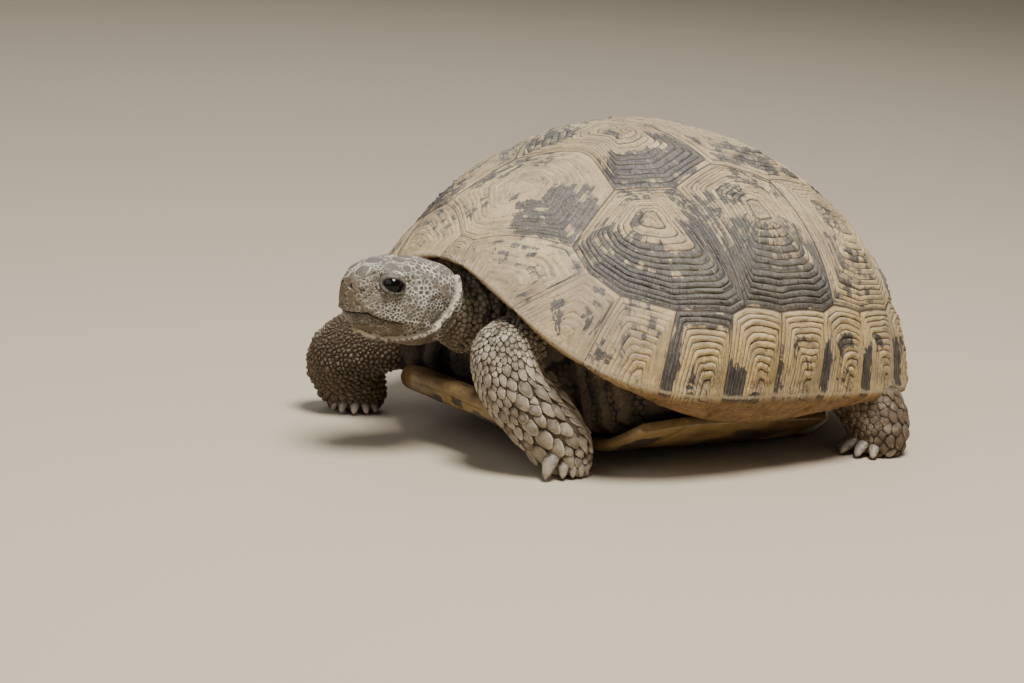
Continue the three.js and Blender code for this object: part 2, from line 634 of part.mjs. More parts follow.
add(tortoise, 'trunk', trunk, SKIN);
add(tortoise, 'head', cut(headShape(0), eyeBall(1, GAP), eyeBall(-1, GAP), ...shellTools), SKIN);
add(tortoise, 'eye_left', eyeBall(1, 0), EYE_GLOSS);
add(tortoise, 'eye_right', eyeBall(-1, 0), EYE_GLOSS);
add(tortoise, 'neck', cut(neckShape(0), headTool, trunkTool, ...shellTools), SKIN);
add(tortoise, 'tail', cut(limb(TAIL, { around: 10, along: 8 }), trunkTool, ...shellTools), SKIN);
for (const [name, plan] of Object.entries(LEGS)) add(tortoise, name, leg(plan), SKIN);

// The origin goes to the middle of the floor that the animal covers.
const bounds = new THREE.Box3().setFromObject(tortoise, true);
const middle = bounds.getCenter(v3());
tortoise.position.set(-middle.x, -middle.y, -bounds.min.z);

export default tortoise;
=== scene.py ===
import math
import random

import bmesh
import bpy
import numpy as np
from mathutils import Matrix, Vector, kdtree, noise
from mathutils.bvhtree import BVHTree


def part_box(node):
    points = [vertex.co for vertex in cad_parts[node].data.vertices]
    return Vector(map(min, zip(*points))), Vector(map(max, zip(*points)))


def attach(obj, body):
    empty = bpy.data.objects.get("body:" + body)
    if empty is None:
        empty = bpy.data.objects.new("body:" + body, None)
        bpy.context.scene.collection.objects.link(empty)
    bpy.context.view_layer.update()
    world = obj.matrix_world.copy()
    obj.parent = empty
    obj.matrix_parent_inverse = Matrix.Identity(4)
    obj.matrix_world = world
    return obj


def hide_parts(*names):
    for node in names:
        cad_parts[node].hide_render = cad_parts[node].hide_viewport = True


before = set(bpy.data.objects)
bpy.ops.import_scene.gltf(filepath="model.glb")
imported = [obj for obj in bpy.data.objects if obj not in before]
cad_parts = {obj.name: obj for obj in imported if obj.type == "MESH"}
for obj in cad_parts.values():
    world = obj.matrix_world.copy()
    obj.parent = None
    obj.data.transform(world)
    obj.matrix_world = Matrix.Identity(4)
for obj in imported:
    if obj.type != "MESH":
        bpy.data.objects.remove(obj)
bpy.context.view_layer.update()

# ------------------------------------------------------------------ bony shell
# Under the horn a tortoise has one box of fused bone: a dome and a belly tray. Only the seams
# between the scutes and the inside of the two openings show it, as dry brown bone.

MM = 0.001
EYE_CENTRE = Vector((5.8, -90.3, 50.5))        # in the shell's own millimetres, to find the origin
CARAPACE = {"front": 71.0, "rear": 82.5, "half": 65.5, "flare": 0.02, "squareness": 2.9, "crown": 85.0}
RIM_HEIGHT = {"front": 45.5, "side": 19.0, "rear": 15.0}
RIM_SLOPE = {"front": 60.0, "side": 98.5, "rear": 72.0}
CROWN_PULL = {"front": 0.25, "side": 0.54, "rear": 0.54}
RIM_PULL = {"front": 0.39, "side": 0.64, "rear": 0.51}
RIM_HEIGHT_SHARP = 4.8
RIM_SLOPE_SHARP = 2.8
LIP_WIDTH = {"front": 5.0, "side": 13.0, "rear": 6.0}
LIP_DROP = {"front": -25.0, "side": 42.0, "rear": -15.0}
LIP_SPAN = 0.12                                # how much of the disc's radius the lip takes
RIM_ROUND = 0.018                              # and how much of it the rounded rim takes
RIM_WEDGE = 0.075                              # the horn and bone thin out this close to the rim
RIM_THIN = 0.1
SHELL_PITCH = math.radians(3.2)
SHELL_ROLL = math.radians(2.0)
SHELL_LIFT = 5.3

eye_low, eye_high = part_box("eye_left")
origin = (eye_low + eye_high) / 2 / MM - EYE_CENTRE
to_row = Matrix.Scale(MM, 4) @ Matrix.Translation(origin)
shell_to_row = (to_row @ Matrix.Translation((0, 0, SHELL_LIFT))
                @ Matrix.Rotation(SHELL_ROLL, 4, "Y") @ Matrix.Rotation(-SHELL_PITCH, 4, "X"))


def blend(value, heading, sharp=2.0):
    front = np.maximum(np.cos(heading), 0) ** sharp
    rear = np.maximum(-np.cos(heading), 0) ** 2
    return value["front"] * front + value["rear"] * rear + value["side"] * (1 - front - rear)


def bezier(a, b, c, d, t):
    s = 1 - t
    return s ** 3 * a + 3 * s * s * t * b + 3 * s * t * t * c + t ** 3 * d


def dome_at(heading, out):
    """The outside of the carapace. heading is 0 ahead and 90 degrees to the left, out is 1 at the rim."""
    ahead = np.cos(heading)
    long = np.where(ahead > 0, CARAPACE["front"], CARAPACE["rear"])
    wide = CARAPACE["half"] * (1 - CARAPACE["flare"] * ahead)
    power = CARAPACE["squareness"]
    rim = ((abs(np.sin(heading)) / wide) ** power + (abs(ahead) / long) ** power) ** (-1 / power)
    crown = CARAPACE["crown"]
    low = blend(RIM_HEIGHT, heading, RIM_HEIGHT_SHARP)
    slope = np.radians(blend(RIM_SLOPE, heading, RIM_SLOPE_SHARP))
    wall = blend(RIM_PULL, heading) * (crown - low)
    spread = bezier(0, blend(CROWN_PULL, heading) * rim, rim - wall / np.tan(slope), rim, out)
    height = bezier(crown, crown, low + wall, low, out)
    return np.stack([spread * np.sin(heading), -spread * np.cos(heading), height], -1)


def lip_at(heading, share):
    """The underside of the rim, from the edge inwards."""
    drop = np.radians(blend(LIP_DROP, heading))
    reach = blend(LIP_WIDTH, heading) * share
    inwards = np.stack([-np.sin(heading) * np.cos(drop), np.cos(heading) * np.cos(drop), -np.sin(drop)], -1)
    return dome_at(heading, np.ones_like(share)) + inwards * reach[..., None]


def shell_at(x, y):
    """A point of the disc lifted on to the shell. The lip follows on past radius 1, round the rim."""
    heading = np.arctan2(x, -y)
    out = np.hypot(x, y)

    def raw(radius):
        past = np.maximum(radius - 1, 0) / LIP_SPAN
        return np.where((radius <= 1)[..., None], dome_at(heading, np.minimum(radius, 1)),
                        lip_at(heading, past))

    one = np.ones_like(out)
    turn = np.clip((out - 1 + RIM_ROUND) / (2 * RIM_ROUND), 0, 1)[..., None]
    inside, edge, outside = raw(one - RIM_ROUND), raw(one), raw(one + RIM_ROUND)
    rounded = (1 - turn) ** 2 * inside + 2 * turn * (1 - turn) * edge + turn ** 2 * outside
    return np.where((abs(out - 1) < RIM_ROUND)[..., None], rounded, raw(out))


def facing(surface, x, y, step):
    """Unit vectors that point straight out of a surface."""
    across = surface(x + step, y) - surface(x - step, y)
    along = surface(x, y + step) - surface(x, y - step)
    straight = np.cross(across, along)
    return straight / np.linalg.norm(straight, axis=-1, keepdims=True)


def carapace_at(x, y, depth):
    thin = np.clip(RIM_THIN + abs(np.hypot(x, y) - 1) / RIM_WEDGE, 0, 1)
    depth = np.where(depth > 0, depth * thin, depth)
    return shell_at(x, y) - facing(shell_at, x, y, 0.006) * depth[..., None]


def polar_net(rows, around, spot, layers=()):
    """A closed skin of rings: a grid whose first and last rows are drawn in to a point.
    spot(row, column) gives the places in shell millimetres, and layers the values kept on them."""
    net = bmesh.new()
    bmesh.ops.create_grid(net, x_segments=rows, y_segments=around, size=0.5)
    net.verts.ensure_lookup_table()
    flat = np.array([vert.co[:2] for vert in net.verts]) + 0.5
    row = np.rint(flat[:, 0] * rows).astype(int)
    column = np.rint(flat[:, 1] * around).astype(int) % around
    places = np.c_[spot(row, column), np.ones(len(row))] @ np.array(shell_to_row).T
    for vert, place in zip(net.verts, places):
        vert.co = place[:3]
    for label, values in layers:
        values = values(row, column)
        kind = net.verts.layers.float_vector if values.ndim == 2 else net.verts.layers.float
        layer = kind.new(label)
        for vert, value in zip(net.verts, values):
            vert[layer] = Vector(value) if values.ndim == 2 else float(value)
    bmesh.ops.remove_doubles(net, verts=net.verts[:], dist=1e-7)
    bmesh.ops.recalc_face_normals(net, faces=net.faces[:])
    return net


def finished(net, name, materials, nodes=()):
    """Makes the object, gives it its finish, and sets it to move with the body."""
    mesh = bpy.data.meshes.new(name)
    net.to_mesh(mesh)
    net.free()
    mesh.shade_smooth()
    for material in materials:
        mesh.materials.append(material)
    piece = bpy.data.objects.new(name, mesh)
    bpy.context.scene.collection.objects.link(piece)
    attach(piece, "root")
    if nodes:
        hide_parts(*nodes)
    return piece


def shader(tree, kind, inputs=None, **settings):
    """Adds a node and wires or sets its inputs, which are named or numbered."""
    made = tree.nodes.new("ShaderNode" + kind)
    for key, value in settings.items():
        setattr(made, key, value)
    for key, value in (inputs or {}).items():
        if isinstance(value, bpy.types.NodeSocket):
            tree.links.new(value, made.inputs[key])
        else:
            made.inputs[key].default_value = value
    return made


def effect(name, inputs, outputs):
    """Starts a node group with named sockets. Gives the tree, its inputs and a way to set its outputs."""
    tree = bpy.data.node_groups.new(name, "ShaderNodeTree")
    for label, kind, value in inputs:
        socket = tree.interface.new_socket(label, in_out="INPUT", socket_type="NodeSocket" + kind)
        socket.default_value = value
    for label, kind in outputs:
        tree.interface.new_socket(label, in_out="OUTPUT", socket_type="NodeSocket" + kind)
    entry = tree.nodes.new("NodeGroupInput")
    leave = tree.nodes.new("NodeGroupOutput")
    return tree, entry.outputs, lambda label, socket: tree.links.new(socket, leave.inputs[label])


def use(tree, group, inputs):
    """Places a node group in a material."""
    made = tree.nodes.new("ShaderNodeGroup")
    made.node_tree = group
    for key, value in inputs.items():
        if isinstance(value, bpy.types.NodeSocket):
            tree.links.new(value, made.inputs[key])
        else:
            made.inputs[key].default_value = value
    return made.outputs


def mixed(tree, share, first, second, mode="MIX"):
    node = shader(tree, "Mix", data_type="RGBA", blend_type=mode)
    for key, value in ((0, share), (6, first), (7, second)):
        if isinstance(value, bpy.types.NodeSocket):
            tree.links.new(value, node.inputs[key])
        else:
            node.inputs[key].default_value = value
    return node.outputs[2]


def math_of(tree, operation, *values, clamp=False):
    made = shader(tree, "Math", dict(enumerate(values)), operation=operation, use_clamp=clamp)
    return made.outputs[0]


def ramp(tree, value, low, high):
    """0 below low, 1 above high."""
    made = shader(tree, "MapRange", {0: value, 1: low, 2: high}, interpolation_type="SMOOTHSTEP")
    return made.outputs[0]


def speckle(tree, place, scale, detail=4.0, rough=0.55, distortion=0.0):
    made = shader(tree, "TexNoise", {"Vector": place, "Scale": scale, "Detail": detail, "Roughness": rough,
                                     "Distortion": distortion})
    return made.outputs["Fac"]


def swing_of(tree, value, size):
    """The value's sway round its middle."""
    return math_of(tree, "MULTIPLY", math_of(tree, "SUBTRACT", value, 0.5), size)


def surface_of(material, colour, roughness, height=None, bump=0.5, reach=0.0002, **fixed):
    """Wires a colour, a roughness and a height to the material's shader. fixed sets plain sockets."""
    tree = material.node_tree
    principled = tree.nodes["Principled BSDF"]
    tree.links.new(colour, principled.inputs["Base Color"])
    tree.links.new(roughness, principled.inputs["Roughness"])
    for label, value in fixed.items():
        principled.inputs[label.replace("_", " ").title().replace("Ior", "IOR")].default_value = value
    if height is not None:
        lumps = shader(tree, "Bump", {"Height": height, "Strength": bump, "Distance": reach})
        tree.links.new(lumps.outputs[0], principled.inputs["Normal"])


def new_material(name):
    material = bpy.data.materials.new(name)
    material.use_nodes = True
    return material


def object_place(tree):
    return shader(tree, "TexCoord").outputs["Object"]


def attribute(tree, name, output="Fac"):
    return shader(tree, "Attribute", attribute_name=name).outputs[output]


# Dust: a thin pale coat that lies thicker in some places than others, and dulls what it covers.
dust, dust_in, dust_out = effect(
    "dust", [("Colour", "Color", (0, 0, 0, 1)), ("Roughness", "Float", 0.5), ("Place", "Vector", (0, 0, 0)),
             ("Amount", "Float", 0.5)], [("Colour", "Color"), ("Roughness", "Float")])
DUST_COLOUR = (0.44, 0.34, 0.21, 1)
drift = speckle(dust, dust_in["Place"], 60.0, 5.0, 0.65)
grit = speckle(dust, dust_in["Place"], 900.0, 3.0, 0.7)
cover = math_of(dust, "MULTIPLY", ramp(dust, drift, 0.36, 0.68), ramp(dust, grit, 0.25, 0.75))
cover = math_of(dust, "MULTIPLY", cover, dust_in["Amount"], clamp=True)
dust_out("Colour", mixed(dust, cover, dust_in["Colour"], DUST_COLOUR))
dust_out("Roughness", math_of(dust, "ADD", dust_in["Roughness"],
                              math_of(dust, "MULTIPLY", cover, 0.3), clamp=True))

bone = new_material("old_bone")
bone_place = object_place(bone.node_tree)
bone_grain = speckle(bone.node_tree, bone_place, 700.0, 6.0, 0.7)
bone_colour = mixed(bone.node_tree, bone_grain, (0.028, 0.019, 0.012, 1), (0.075, 0.052, 0.032, 1))
surface_of(bone, bone_colour, ramp(bone.node_tree, bone_grain, -1.2, 0.9), bone_grain, 0.3)

BONE_OUTSIDE = 0.95                            # how far the bone lies under the horn's surface
BONE_INSIDE = 3.0
BONE_ROWS = 44
BONE_AROUND = 96
INNER_EDGE = 0.86


def bone_spot(row, column):
    heading = 2 * math.pi * column / BONE_AROUND
    half = BONE_ROWS // 2
    outside = row <= half
    out = np.where(outside, (1 + LIP_SPAN) * row / half, INNER_EDGE * (BONE_ROWS - row) / (half - 1))
    depth = np.where(outside, BONE_OUTSIDE, BONE_INSIDE)
    return carapace_at(out * np.sin(heading), -out * np.cos(heading), depth)


bone_net = polar_net(BONE_ROWS, BONE_AROUND, bone_spot)
to_body = np.array(to_row.inverted())[:, :].T[:, :3]
shell_shape = ((np.array([(*vert.co, 1) for vert in bone_net.verts]) @ to_body).tolist(),
               [[vert.index for vert in face.verts] for face in bone_net.faces])
finished(bone_net, "carapace_bone", [bone])

# ------------------------------------------------------------------ scutes of the carapace
# Each scute is a horn plate that starts as a small pitted areola and gains a ridge round it every
# season. Growth is lopsided, so the rings lie wide on one side and crowd together on the other.
# The horn is dusty tan, with near-black pigment laid down in blotches along the rings.

MARGINALS = 11                                 # down each side, between the nuchal and the supracaudal
NUCHAL_HALF, SUPRACAUDAL_HALF = 4, 10          # degrees of rim
REAR_CROWDING = 0.19                           # how much the marginals narrow towards the rear
COSTAL_RADIUS, NUCHAL_RADIUS = 0.78, 0.86      # where the marginals start and where the nuchal does
NUCHAL_TAPER = 0.65
FRONT_SLANT, FRONT_DIP, FRONT_FADE = 14, 0.05, 0.4   # the first marginal's rear seam leans back
COSTAL_TIP = (29, 0.68)
COSTAL_SHARE, COSTAL_INSET = 0.3, 0.02         # where a seam between costals meets a marginal
VERTEBRAL = {"front": -0.37, "step": 0.33, "half": 0.28, "narrowing": 0.3, "spike": 0.06}
AREOLA_OUT = 0.35                              # a costal's areola lies this far from the back to the rim


def rim_point(heading, out):
    return out * math.sin(math.radians(heading)), -out * math.cos(math.radians(heading))


def rim_seam(k):
    share = k / MARGINALS
    span = 180 - NUCHAL_HALF - SUPRACAUDAL_HALF
    return NUCHAL_HALF + span * (share + REAR_CROWDING * share * (1 - share))


def costal_point(k):
    if k == 0:
        return rim_point(NUCHAL_HALF * NUCHAL_TAPER, NUCHAL_RADIUS)
    fade = FRONT_FADE ** (k - 1)
    return rim_point(rim_seam(k) + FRONT_SLANT * fade, COSTAL_RADIUS - FRONT_DIP * fade)


def costal_seam_end(marginal):
    first, last = rim_seam(marginal - 1), rim_seam(marginal)
    return rim_point(first + (last - first) * COSTAL_SHARE, COSTAL_RADIUS - COSTAL_INSET)


def vertebral_corner(k, spike=0.0):
    y = VERTEBRAL["front"] + VERTEBRAL["step"] * k
    off_widest = VERTEBRAL["step"] * (k - 1)
    return VERTEBRAL["half"] - VERTEBRAL["narrowing"] * off_widest ** 2 + spike, y


RIM_SEAMS = [rim_seam(k) for k in range(MARGINALS + 1)]
COSTAL_LINE = [costal_point(k) for k in range(MARGINALS + 1)]
C1_M1 = rim_point(*COSTAL_TIP)
C12_M5, C23_M7, C34_M9, V5_M11 = (costal_seam_end(marginal) for marginal in (5, 7, 9, 11))
V12, V23, V34, V45 = (vertebral_corner(k) for k in range(4))
C12, C23, C34 = (vertebral_corner(k + 0.5, VERTEBRAL["spike"]) for k in range(3))

RING_STEPS = (0.0, 0.1, 0.26, 0.5, 0.74, 0.9)  # where the net has a row across each ridge
AREOLA = 0.15                                  # share of the plate that the first year's horn takes
SEAM = 0.18                                    # mm, half the width of a seam
SEAM_DEPTH = 0.6
UNDER_DEPTH = 1.3
RIDGE = 0.72                                   # mm, height of the strongest ridges
CROWD = 0.31                                   # ridge height as a share of its width, where rings crowd
UNDER_FROM = 0.978                             # the smooth brown underside starts this near the rim
BEAD = 0.4                                     # mm, height of the sharp edge that runs along the rim
SWELL = 0.75                                   # mm, how far the middle of a plate stands proud


def along_edges(corners, count, surface):
    """Walks a closed outline in count steps, with a step on every corner."""
    ends = list(zip(corners, corners[1:] + corners[:1]))
    far = np.array(ends, float)
    a, b = surface(far[:, 0, 0], far[:, 0, 1]), surface(far[:, 1, 0], far[:, 1, 1])
    length = np.linalg.norm(a - b, axis=1)
    steps = np.maximum(np.rint(count * length / length.sum()).astype(int), 2)
    steps[np.argmax(steps)] += count - steps.sum()
    spots = [np.array(p) + (np.array(q) - np.array(p)) * k / n for (p, q), n in zip(ends, steps)
             for k in range(n)]
    return np.array(spots)


def rounded_off(outline, times):
    """The same outline with its corners rounded off."""
    for _ in range(times):
        outline = (np.roll(outline, 1, 0) + 2 * outline + np.roll(outline, -1, 0)) / 4
    return outline


def ringed_plate(name, corners, centre, rings, around, surface, smudges=(), outward=90.0, seed=0,
                 areola=AREOLA, ridge=RIDGE, swell=SWELL, thick=None, materials=(),
                 even=0.8, bold=1.0):
    """One scute. surface(x, y, depth) is the shell there, and smudges are dark blotches: bearing from,
    bearing to, share from, share to, strength. Bearing 0 is ahead and 90 is out to the rim."""
    chance = random.Random(seed)
    start = np.array(centre, float)
    edge = along_edges(list(corners), around, lambda x, y: surface(x, y, np.zeros_like(x)))
    soft = rounded_off(edge, around // 12)
    reach = np.linalg.norm(surface(edge[:, 0], edge[:, 1], np.zeros(around))
                           - surface(*np.full((2, 1), start[:, None]), np.zeros(1)), axis=1)
    seam = SEAM / reach
    ring_edges = [areola + (1 - areola) * (k / rings) ** even for k in range(rings + 1)]
    profile = [(0.0, -1.0, 0.0)] + [(areola * k / 5, -1 + k / 5, 0.0) for k in range(1, 5)]
    for k in range(rings):
        for step in RING_STEPS:
            profile.append((ring_edges[k] + (ring_edges[k + 1] - ring_edges[k]) * step, k + step, 0.0))
    top_rows = len(profile)
    below = UNDER_DEPTH
    profile += [(1.0, rings, 0.0), (1.0, rings, SEAM_DEPTH), (1.0, rings, below)]
    if thick is not None:
        profile += [(1.0, rings, 2 * below)]
    profile += [(share, rings, 9.0) for share in (0.99, 0.96, 0.91, 0.8, 0.5, 0.25, 0.0)]
    share, ring, depth = np.array(profile).T
    loud = np.array([chance.uniform(0.45, 1.2) for _ in range(rings + 2)])
    tone = np.array([chance.uniform(0.5, 1.0) for _ in range(rings + 2)])
    out = math.radians(outward)
    out_way, fore_way = np.array([math.sin(out), -math.cos(out)]), -np.array([math.cos(out), math.sin(out)])
    offset = Vector((7.3 * seed, 3.1, 0.7 * seed))

    def wander(turn, at, rate, size):
        return np.array([noise.noise(offset + Vector((rate * math.cos(t), rate * math.sin(t), a * size)))
                         for t, a in zip(turn, at)])

    kept = {}

    def measure(row, column):
        top = row < top_rows
        way = edge[column] - start
        turn = np.arctan2(way @ out_way, way @ fore_way)
        whirl = wander(turn, ring[row], 1.6, 0.3)
        fine = wander(turn, ring[row], 7.0, 0.9)
        width = reach[column] * (1 - areola) / rings
        taper = np.clip((1 - share[row]) * 6, 0, 1)
        s = share[row] * (1 - np.where(top, seam[column], 0) * (share[row] > 0.9))
        s = s + np.where(top, (0.3 * whirl + 0.08 * fine) / rings * taper * (share[row] > areola / 2), 0)
        sharp = (np.clip(s, 0, 1) ** 3)[:, None]
        spot = start + s[:, None] * ((1 - sharp) * soft[column] + sharp * edge[column] - start)
        part = ring[row] % 1
        number = np.clip(ring[row], 0, rings).astype(int)
        crest = np.where(ring[row] < 0, 0.5, 1 - abs(2 * part ** 0.8 - 1) ** 2.8)
        rough_ring = wander(turn, ring[row], 19.0, 0.8)
        tall = bold * np.minimum(ridge, CROWD * width) * loud[number] * (0.85 + 0.9 * fine
                                                                         + 0.7 * rough_ring)
        lift = np.where(top, crest * tall + swell * (1 - share[row] ** 2) - 0.35 * np.clip(
            share[row] * 8 - 7, 0, 1), 0)
        if thick is None:
            lift = lift + np.where(top, BEAD * np.exp(-((np.hypot(*spot.T) - UNDER_FROM) / 0.012) ** 2), 0)
        deep = np.where(depth[row] < 9, depth[row], UNDER_DEPTH)
        if thick is not None:
            full = thick(spot[:, 0], spot[:, 1])
            deep = np.where(depth[row] < 9, np.minimum(depth[row], full - 0.4), full)
            deep = np.where((depth[row] > UNDER_DEPTH) & (depth[row] < 9), full - 0.4, deep)
        kept.update(spot=spot, crest=np.where(top, 1 - (1 - crest) * min(bold * 1.2, 1), 0), turn=turn,
                    share=s, whirl=whirl, fine=fine,
                    number=number, tone=tone[number])
        return surface(spot[:, 0], spot[:, 1], np.where(top, -lift, deep))

    def pigment(row, column):
        bearing = (np.degrees(kept["turn"]) + 14 * kept["whirl"] + 360) % 360
        reached = kept["share"] + 0.05 * kept["fine"]
        dark = np.zeros(len(row))
        for first, last, inner, outer, strength in smudges:
            middle = (first + last) / 2
            aside = abs((bearing - middle + 180) % 360 - 180)
            sector = np.clip(((last - first) / 2 - aside) / 16 + 0.5, 0, 1)
            band = np.clip((reached - inner) / 0.08 + 0.5, 0, 1) * np.clip((outer - reached)
                                                                           / 0.08 + 0.5, 0, 1)
            dark = np.maximum(dark, sector * band * strength)
        return dark

    def growth(row, column):
        turn = kept["turn"]
        spread = 4 * np.clip(share[row] / (1.6 * areola), 0, 1)
        return np.stack([ring[row] + 40.0 * seed, spread * np.cos(turn), spread * np.sin(turn)], -1)

    net = polar_net(len(profile) - 1, around, measure, [
        ("ridge", lambda row, column: kept["crest"]),
        ("pigment", pigment),
        ("growth", growth),
        ("under", lambda row, column: np.clip((np.hypot(*kept["spot"].T) - UNDER_FROM) / 0.03, 0, 1)
         if thick is None else np.zeros(len(row))),
    ])
    return finished(net, name + "_scute", materials, [name])


carapace_horn = new_material("carapace_horn")
tree = carapace_horn.node_tree
place = object_place(tree)
growth_place = attribute(tree, "growth", "Vector")
pigment_mask = attribute(tree, "pigment")
ridge_mask = attribute(tree, "ridge")
under_mask = attribute(tree, "under")


def along_rings(per_ring, per_turn, detail, rough):
    """Noise stretched along the rings or across them."""
    stretched = shader(tree, "Mapping", {"Vector": growth_place, "Scale": (per_ring, per_turn, per_turn)})
    return speckle(tree, stretched.outputs[0], 1.0, detail, rough)


broad = speckle(tree, place, 38.0, 3.0, 0.5)
grain = speckle(tree, place, 420.0, 6.0, 0.65)
ring_grain = along_rings(5.0, 0.9, 5.0, 0.6)
growth_parts = shader(tree, "SeparateXYZ", {"Vector": growth_place}).outputs
season = shader(tree, "CombineXYZ", {"X": math_of(tree, "MULTIPLY",
                                                  math_of(tree, "FLOOR", growth_parts["X"]), 0.77),
                                     "Y": growth_parts["Y"], "Z": growth_parts["Z"]})
streak = speckle(tree, season.outputs[0], 1.25, 5.0, 0.62)
ring_tone = along_rings(1.0, 0.22, 2.0, 0.5)
scratch = along_rings(1.1, 12.0, 4.0, 0.7)
height_share = ramp(tree, shader(tree, "SeparateXYZ", {"Vector": place}).outputs["Z"], 0.022, 0.062)
tan = mixed(tree, height_share, (0.57, 0.375, 0.12, 1), (0.57, 0.44, 0.225, 1))
tan = mixed(tree, ramp(tree, broad, 0.35, 0.68), tan, (0.34, 0.26, 0.15, 1))
tan = mixed(tree, math_of(tree, "MULTIPLY", ramp(tree, ring_tone, 0.42, 0.66), 0.5), tan,
            (0.19, 0.135, 0.075, 1))
tan = mixed(tree, math_of(tree, "MULTIPLY", ramp(tree, scratch, 0.52, 0.7), 0.5), tan,
            (0.17, 0.13, 0.085, 1))
soil = speckle(tree, place, 150.0, 6.0, 0.72)
tan = mixed(tree, math_of(tree, "MULTIPLY", ramp(tree, soil, 0.46, 0.64), 0.62), tan,
            (0.21, 0.155, 0.085, 1))
fleck = speckle(tree, place, 1300.0, 4.0, 0.7)
tan = mixed(tree, math_of(tree, "MULTIPLY", ramp(tree, fleck, 0.52, 0.66), 0.6), tan, (0.1, 0.077, 0.05, 1))

dark_value = math_of(tree, "ADD", math_of(tree, "ADD", pigment_mask, swing_of(tree, streak, 2.3)),
                     swing_of(tree, ring_tone, 0.8))
dark_value = math_of(tree, "ADD", dark_value, swing_of(tree, grain, 0.5))
dark_share = ramp(tree, dark_value, 0.33, 0.57)
black = mixed(tree, ramp(tree, grain, 0.35, 0.7), (0.006, 0.005, 0.004, 1), (0.026, 0.022, 0.018, 1))
slate = mixed(tree, ramp(tree, grain, 0.35, 0.7), (0.014, 0.013, 0.013, 1), (0.07, 0.066, 0.064, 1))
dark = mixed(tree, height_share, black, slate)
# Partly wear, partly painted highlight: on dark pigment the ridge crests turn grey, more on the higher
# plates.
ridge_top_wear_and_highlight = math_of(tree, "MULTIPLY", ramp(tree, ridge_mask, 0.5, 1.0), math_of(
    tree, "MULTIPLY", ramp(tree, scratch, 0.4, 0.62), math_of(tree, "ADD", 0.25, height_share), clamp=True))
dark = mixed(tree, ridge_top_wear_and_highlight, dark, (0.13, 0.122, 0.114, 1))
horn = mixed(tree, dark_share, tan, dark)
# Painted shade: the grooves between the growth ridges are darkened to near-black.
groove = math_of(tree, "SUBTRACT", 1.0, ramp(tree, ridge_mask, 0.05, 0.75))
horn = mixed(tree, math_of(tree, "MULTIPLY", groove, 0.92), horn, (0.03, 0.023, 0.016, 1))
# Painted highlight: a pale line along the flanks of each growth ridge, as if it caught the light, fainter
# on dark pigment.
ridge_flank_highlight = math_of(tree, "MULTIPLY", ramp(tree, ridge_mask, 0.25, 0.5), ramp(tree, ridge_mask, 0.95, 0.7))
ridge_flank_highlight = math_of(tree, "MULTIPLY", ridge_flank_highlight, ramp(tree, ring_grain, 0.4, 0.6))
bright = math_of(tree, "SUBTRACT", 1.0, math_of(tree, "MULTIPLY", dark_share, 0.65))
horn = mixed(tree, math_of(tree, "MULTIPLY", math_of(tree, "MULTIPLY", ridge_flank_highlight, bright), 0.45), horn,
             (0.6, 0.5, 0.36, 1))
# Partly wear, partly painted highlight: the crests of the ridges are paled, fainter on dark pigment.
ridge_wear_and_highlight = math_of(tree, "MULTIPLY", ramp(tree, ridge_mask, 0.7, 1.0), ramp(tree, ring_grain, 0.42, 0.66))
horn = mixed(tree, math_of(tree, "MULTIPLY", math_of(tree, "MULTIPLY", ridge_wear_and_highlight, bright), 0.24), horn,
             (0.62, 0.5, 0.32, 1))
rim_line = math_of(tree, "MULTIPLY", ramp(tree, under_mask, 0.0, 0.12),
                   math_of(tree, "SUBTRACT", 0.7, ramp(tree, under_mask, 0.2, 0.5)), clamp=True)
horn = mixed(tree, rim_line, horn, (0.52, 0.42, 0.27, 1))
belly_brown = mixed(tree, ramp(tree, grain, 0.3, 0.75), (0.13, 0.066, 0.018, 1), (0.3, 0.175, 0.06, 1))
horn = mixed(tree, math_of(tree, "MULTIPLY", ramp(tree, under_mask, 0.3, 0.9), 0.92), horn, belly_brown)
dust_amount = math_of(tree, "MULTIPLY",
                      math_of(tree, "SUBTRACT", math_of(tree, "SUBTRACT", 1.0, under_mask),
                                                math_of(tree, "MULTIPLY", dark_share, 0.45), clamp=True),
                      math_of(tree, "ADD", 0.08, math_of(tree, "MULTIPLY", height_share, 0.22)))
shine = math_of(tree, "ADD", 0.46, math_of(tree, "MULTIPLY", grain, 0.25))
dusty = use(tree, dust, {"Colour": horn, "Roughness": shine, "Place": place, "Amount": dust_amount})
relief = math_of(tree, "ADD", math_of(tree, "MULTIPLY", grain, 0.5),
                 math_of(tree, "ADD", ring_grain, scratch))
surface_of(carapace_horn, dusty["Colour"], dusty["Roughness"], relief, 0.6, 0.00035)

VERTEBRALS = [
    ([C1_M1, COSTAL_LINE[0]], [C1_M1, V12]),
    ([V12], [V12, C12, V23]),
    ([V23], [V23, C23, V34]),
    ([V34], [V34, C34, V45]),
    ([V45], [V45, V5_M11, COSTAL_LINE[11]]),
]
VERTEBRAL_SMUDGES = [
    [(50, 125, 0.35, 1, 0.75), (290, 335, 0.5, 0.9, 0.45), (20, 50, 0.12, 0.3, 0.7),
     (195, 260, 0.5, 1, 0.5)],
    [(300, 420, 0.08, 0.3, 0.7), (40, 140, 0.5, 1, 0.75), (230, 310, 0.45, 0.95, 0.5),
     (160, 200, 0.7, 1, 0.5)],
    [(310, 400, 0.1, 0.32, 0.7), (50, 130, 0.5, 0.95, 0.55), (230, 300, 0.5, 0.95, 0.5)],
    [(320, 410, 0.12, 0.35, 0.7), (50, 125, 0.45, 0.95, 0.6), (240, 300, 0.5, 0.9, 0.5)],
    [(330, 390, 0.2, 0.5, 0.6), (50, 110, 0.5, 0.95, 0.5), (250, 310, 0.5, 0.95, 0.5)],
]


def mirrored(point):
    return -point[0], point[1]


def closed_outline(left):
    """A two-sided outline from the corners of its left half, given from front to back."""
    whole = left + [mirrored(point) for point in reversed(left)]
    return [point for k, point in enumerate(whole) if point != whole[k - 1]]


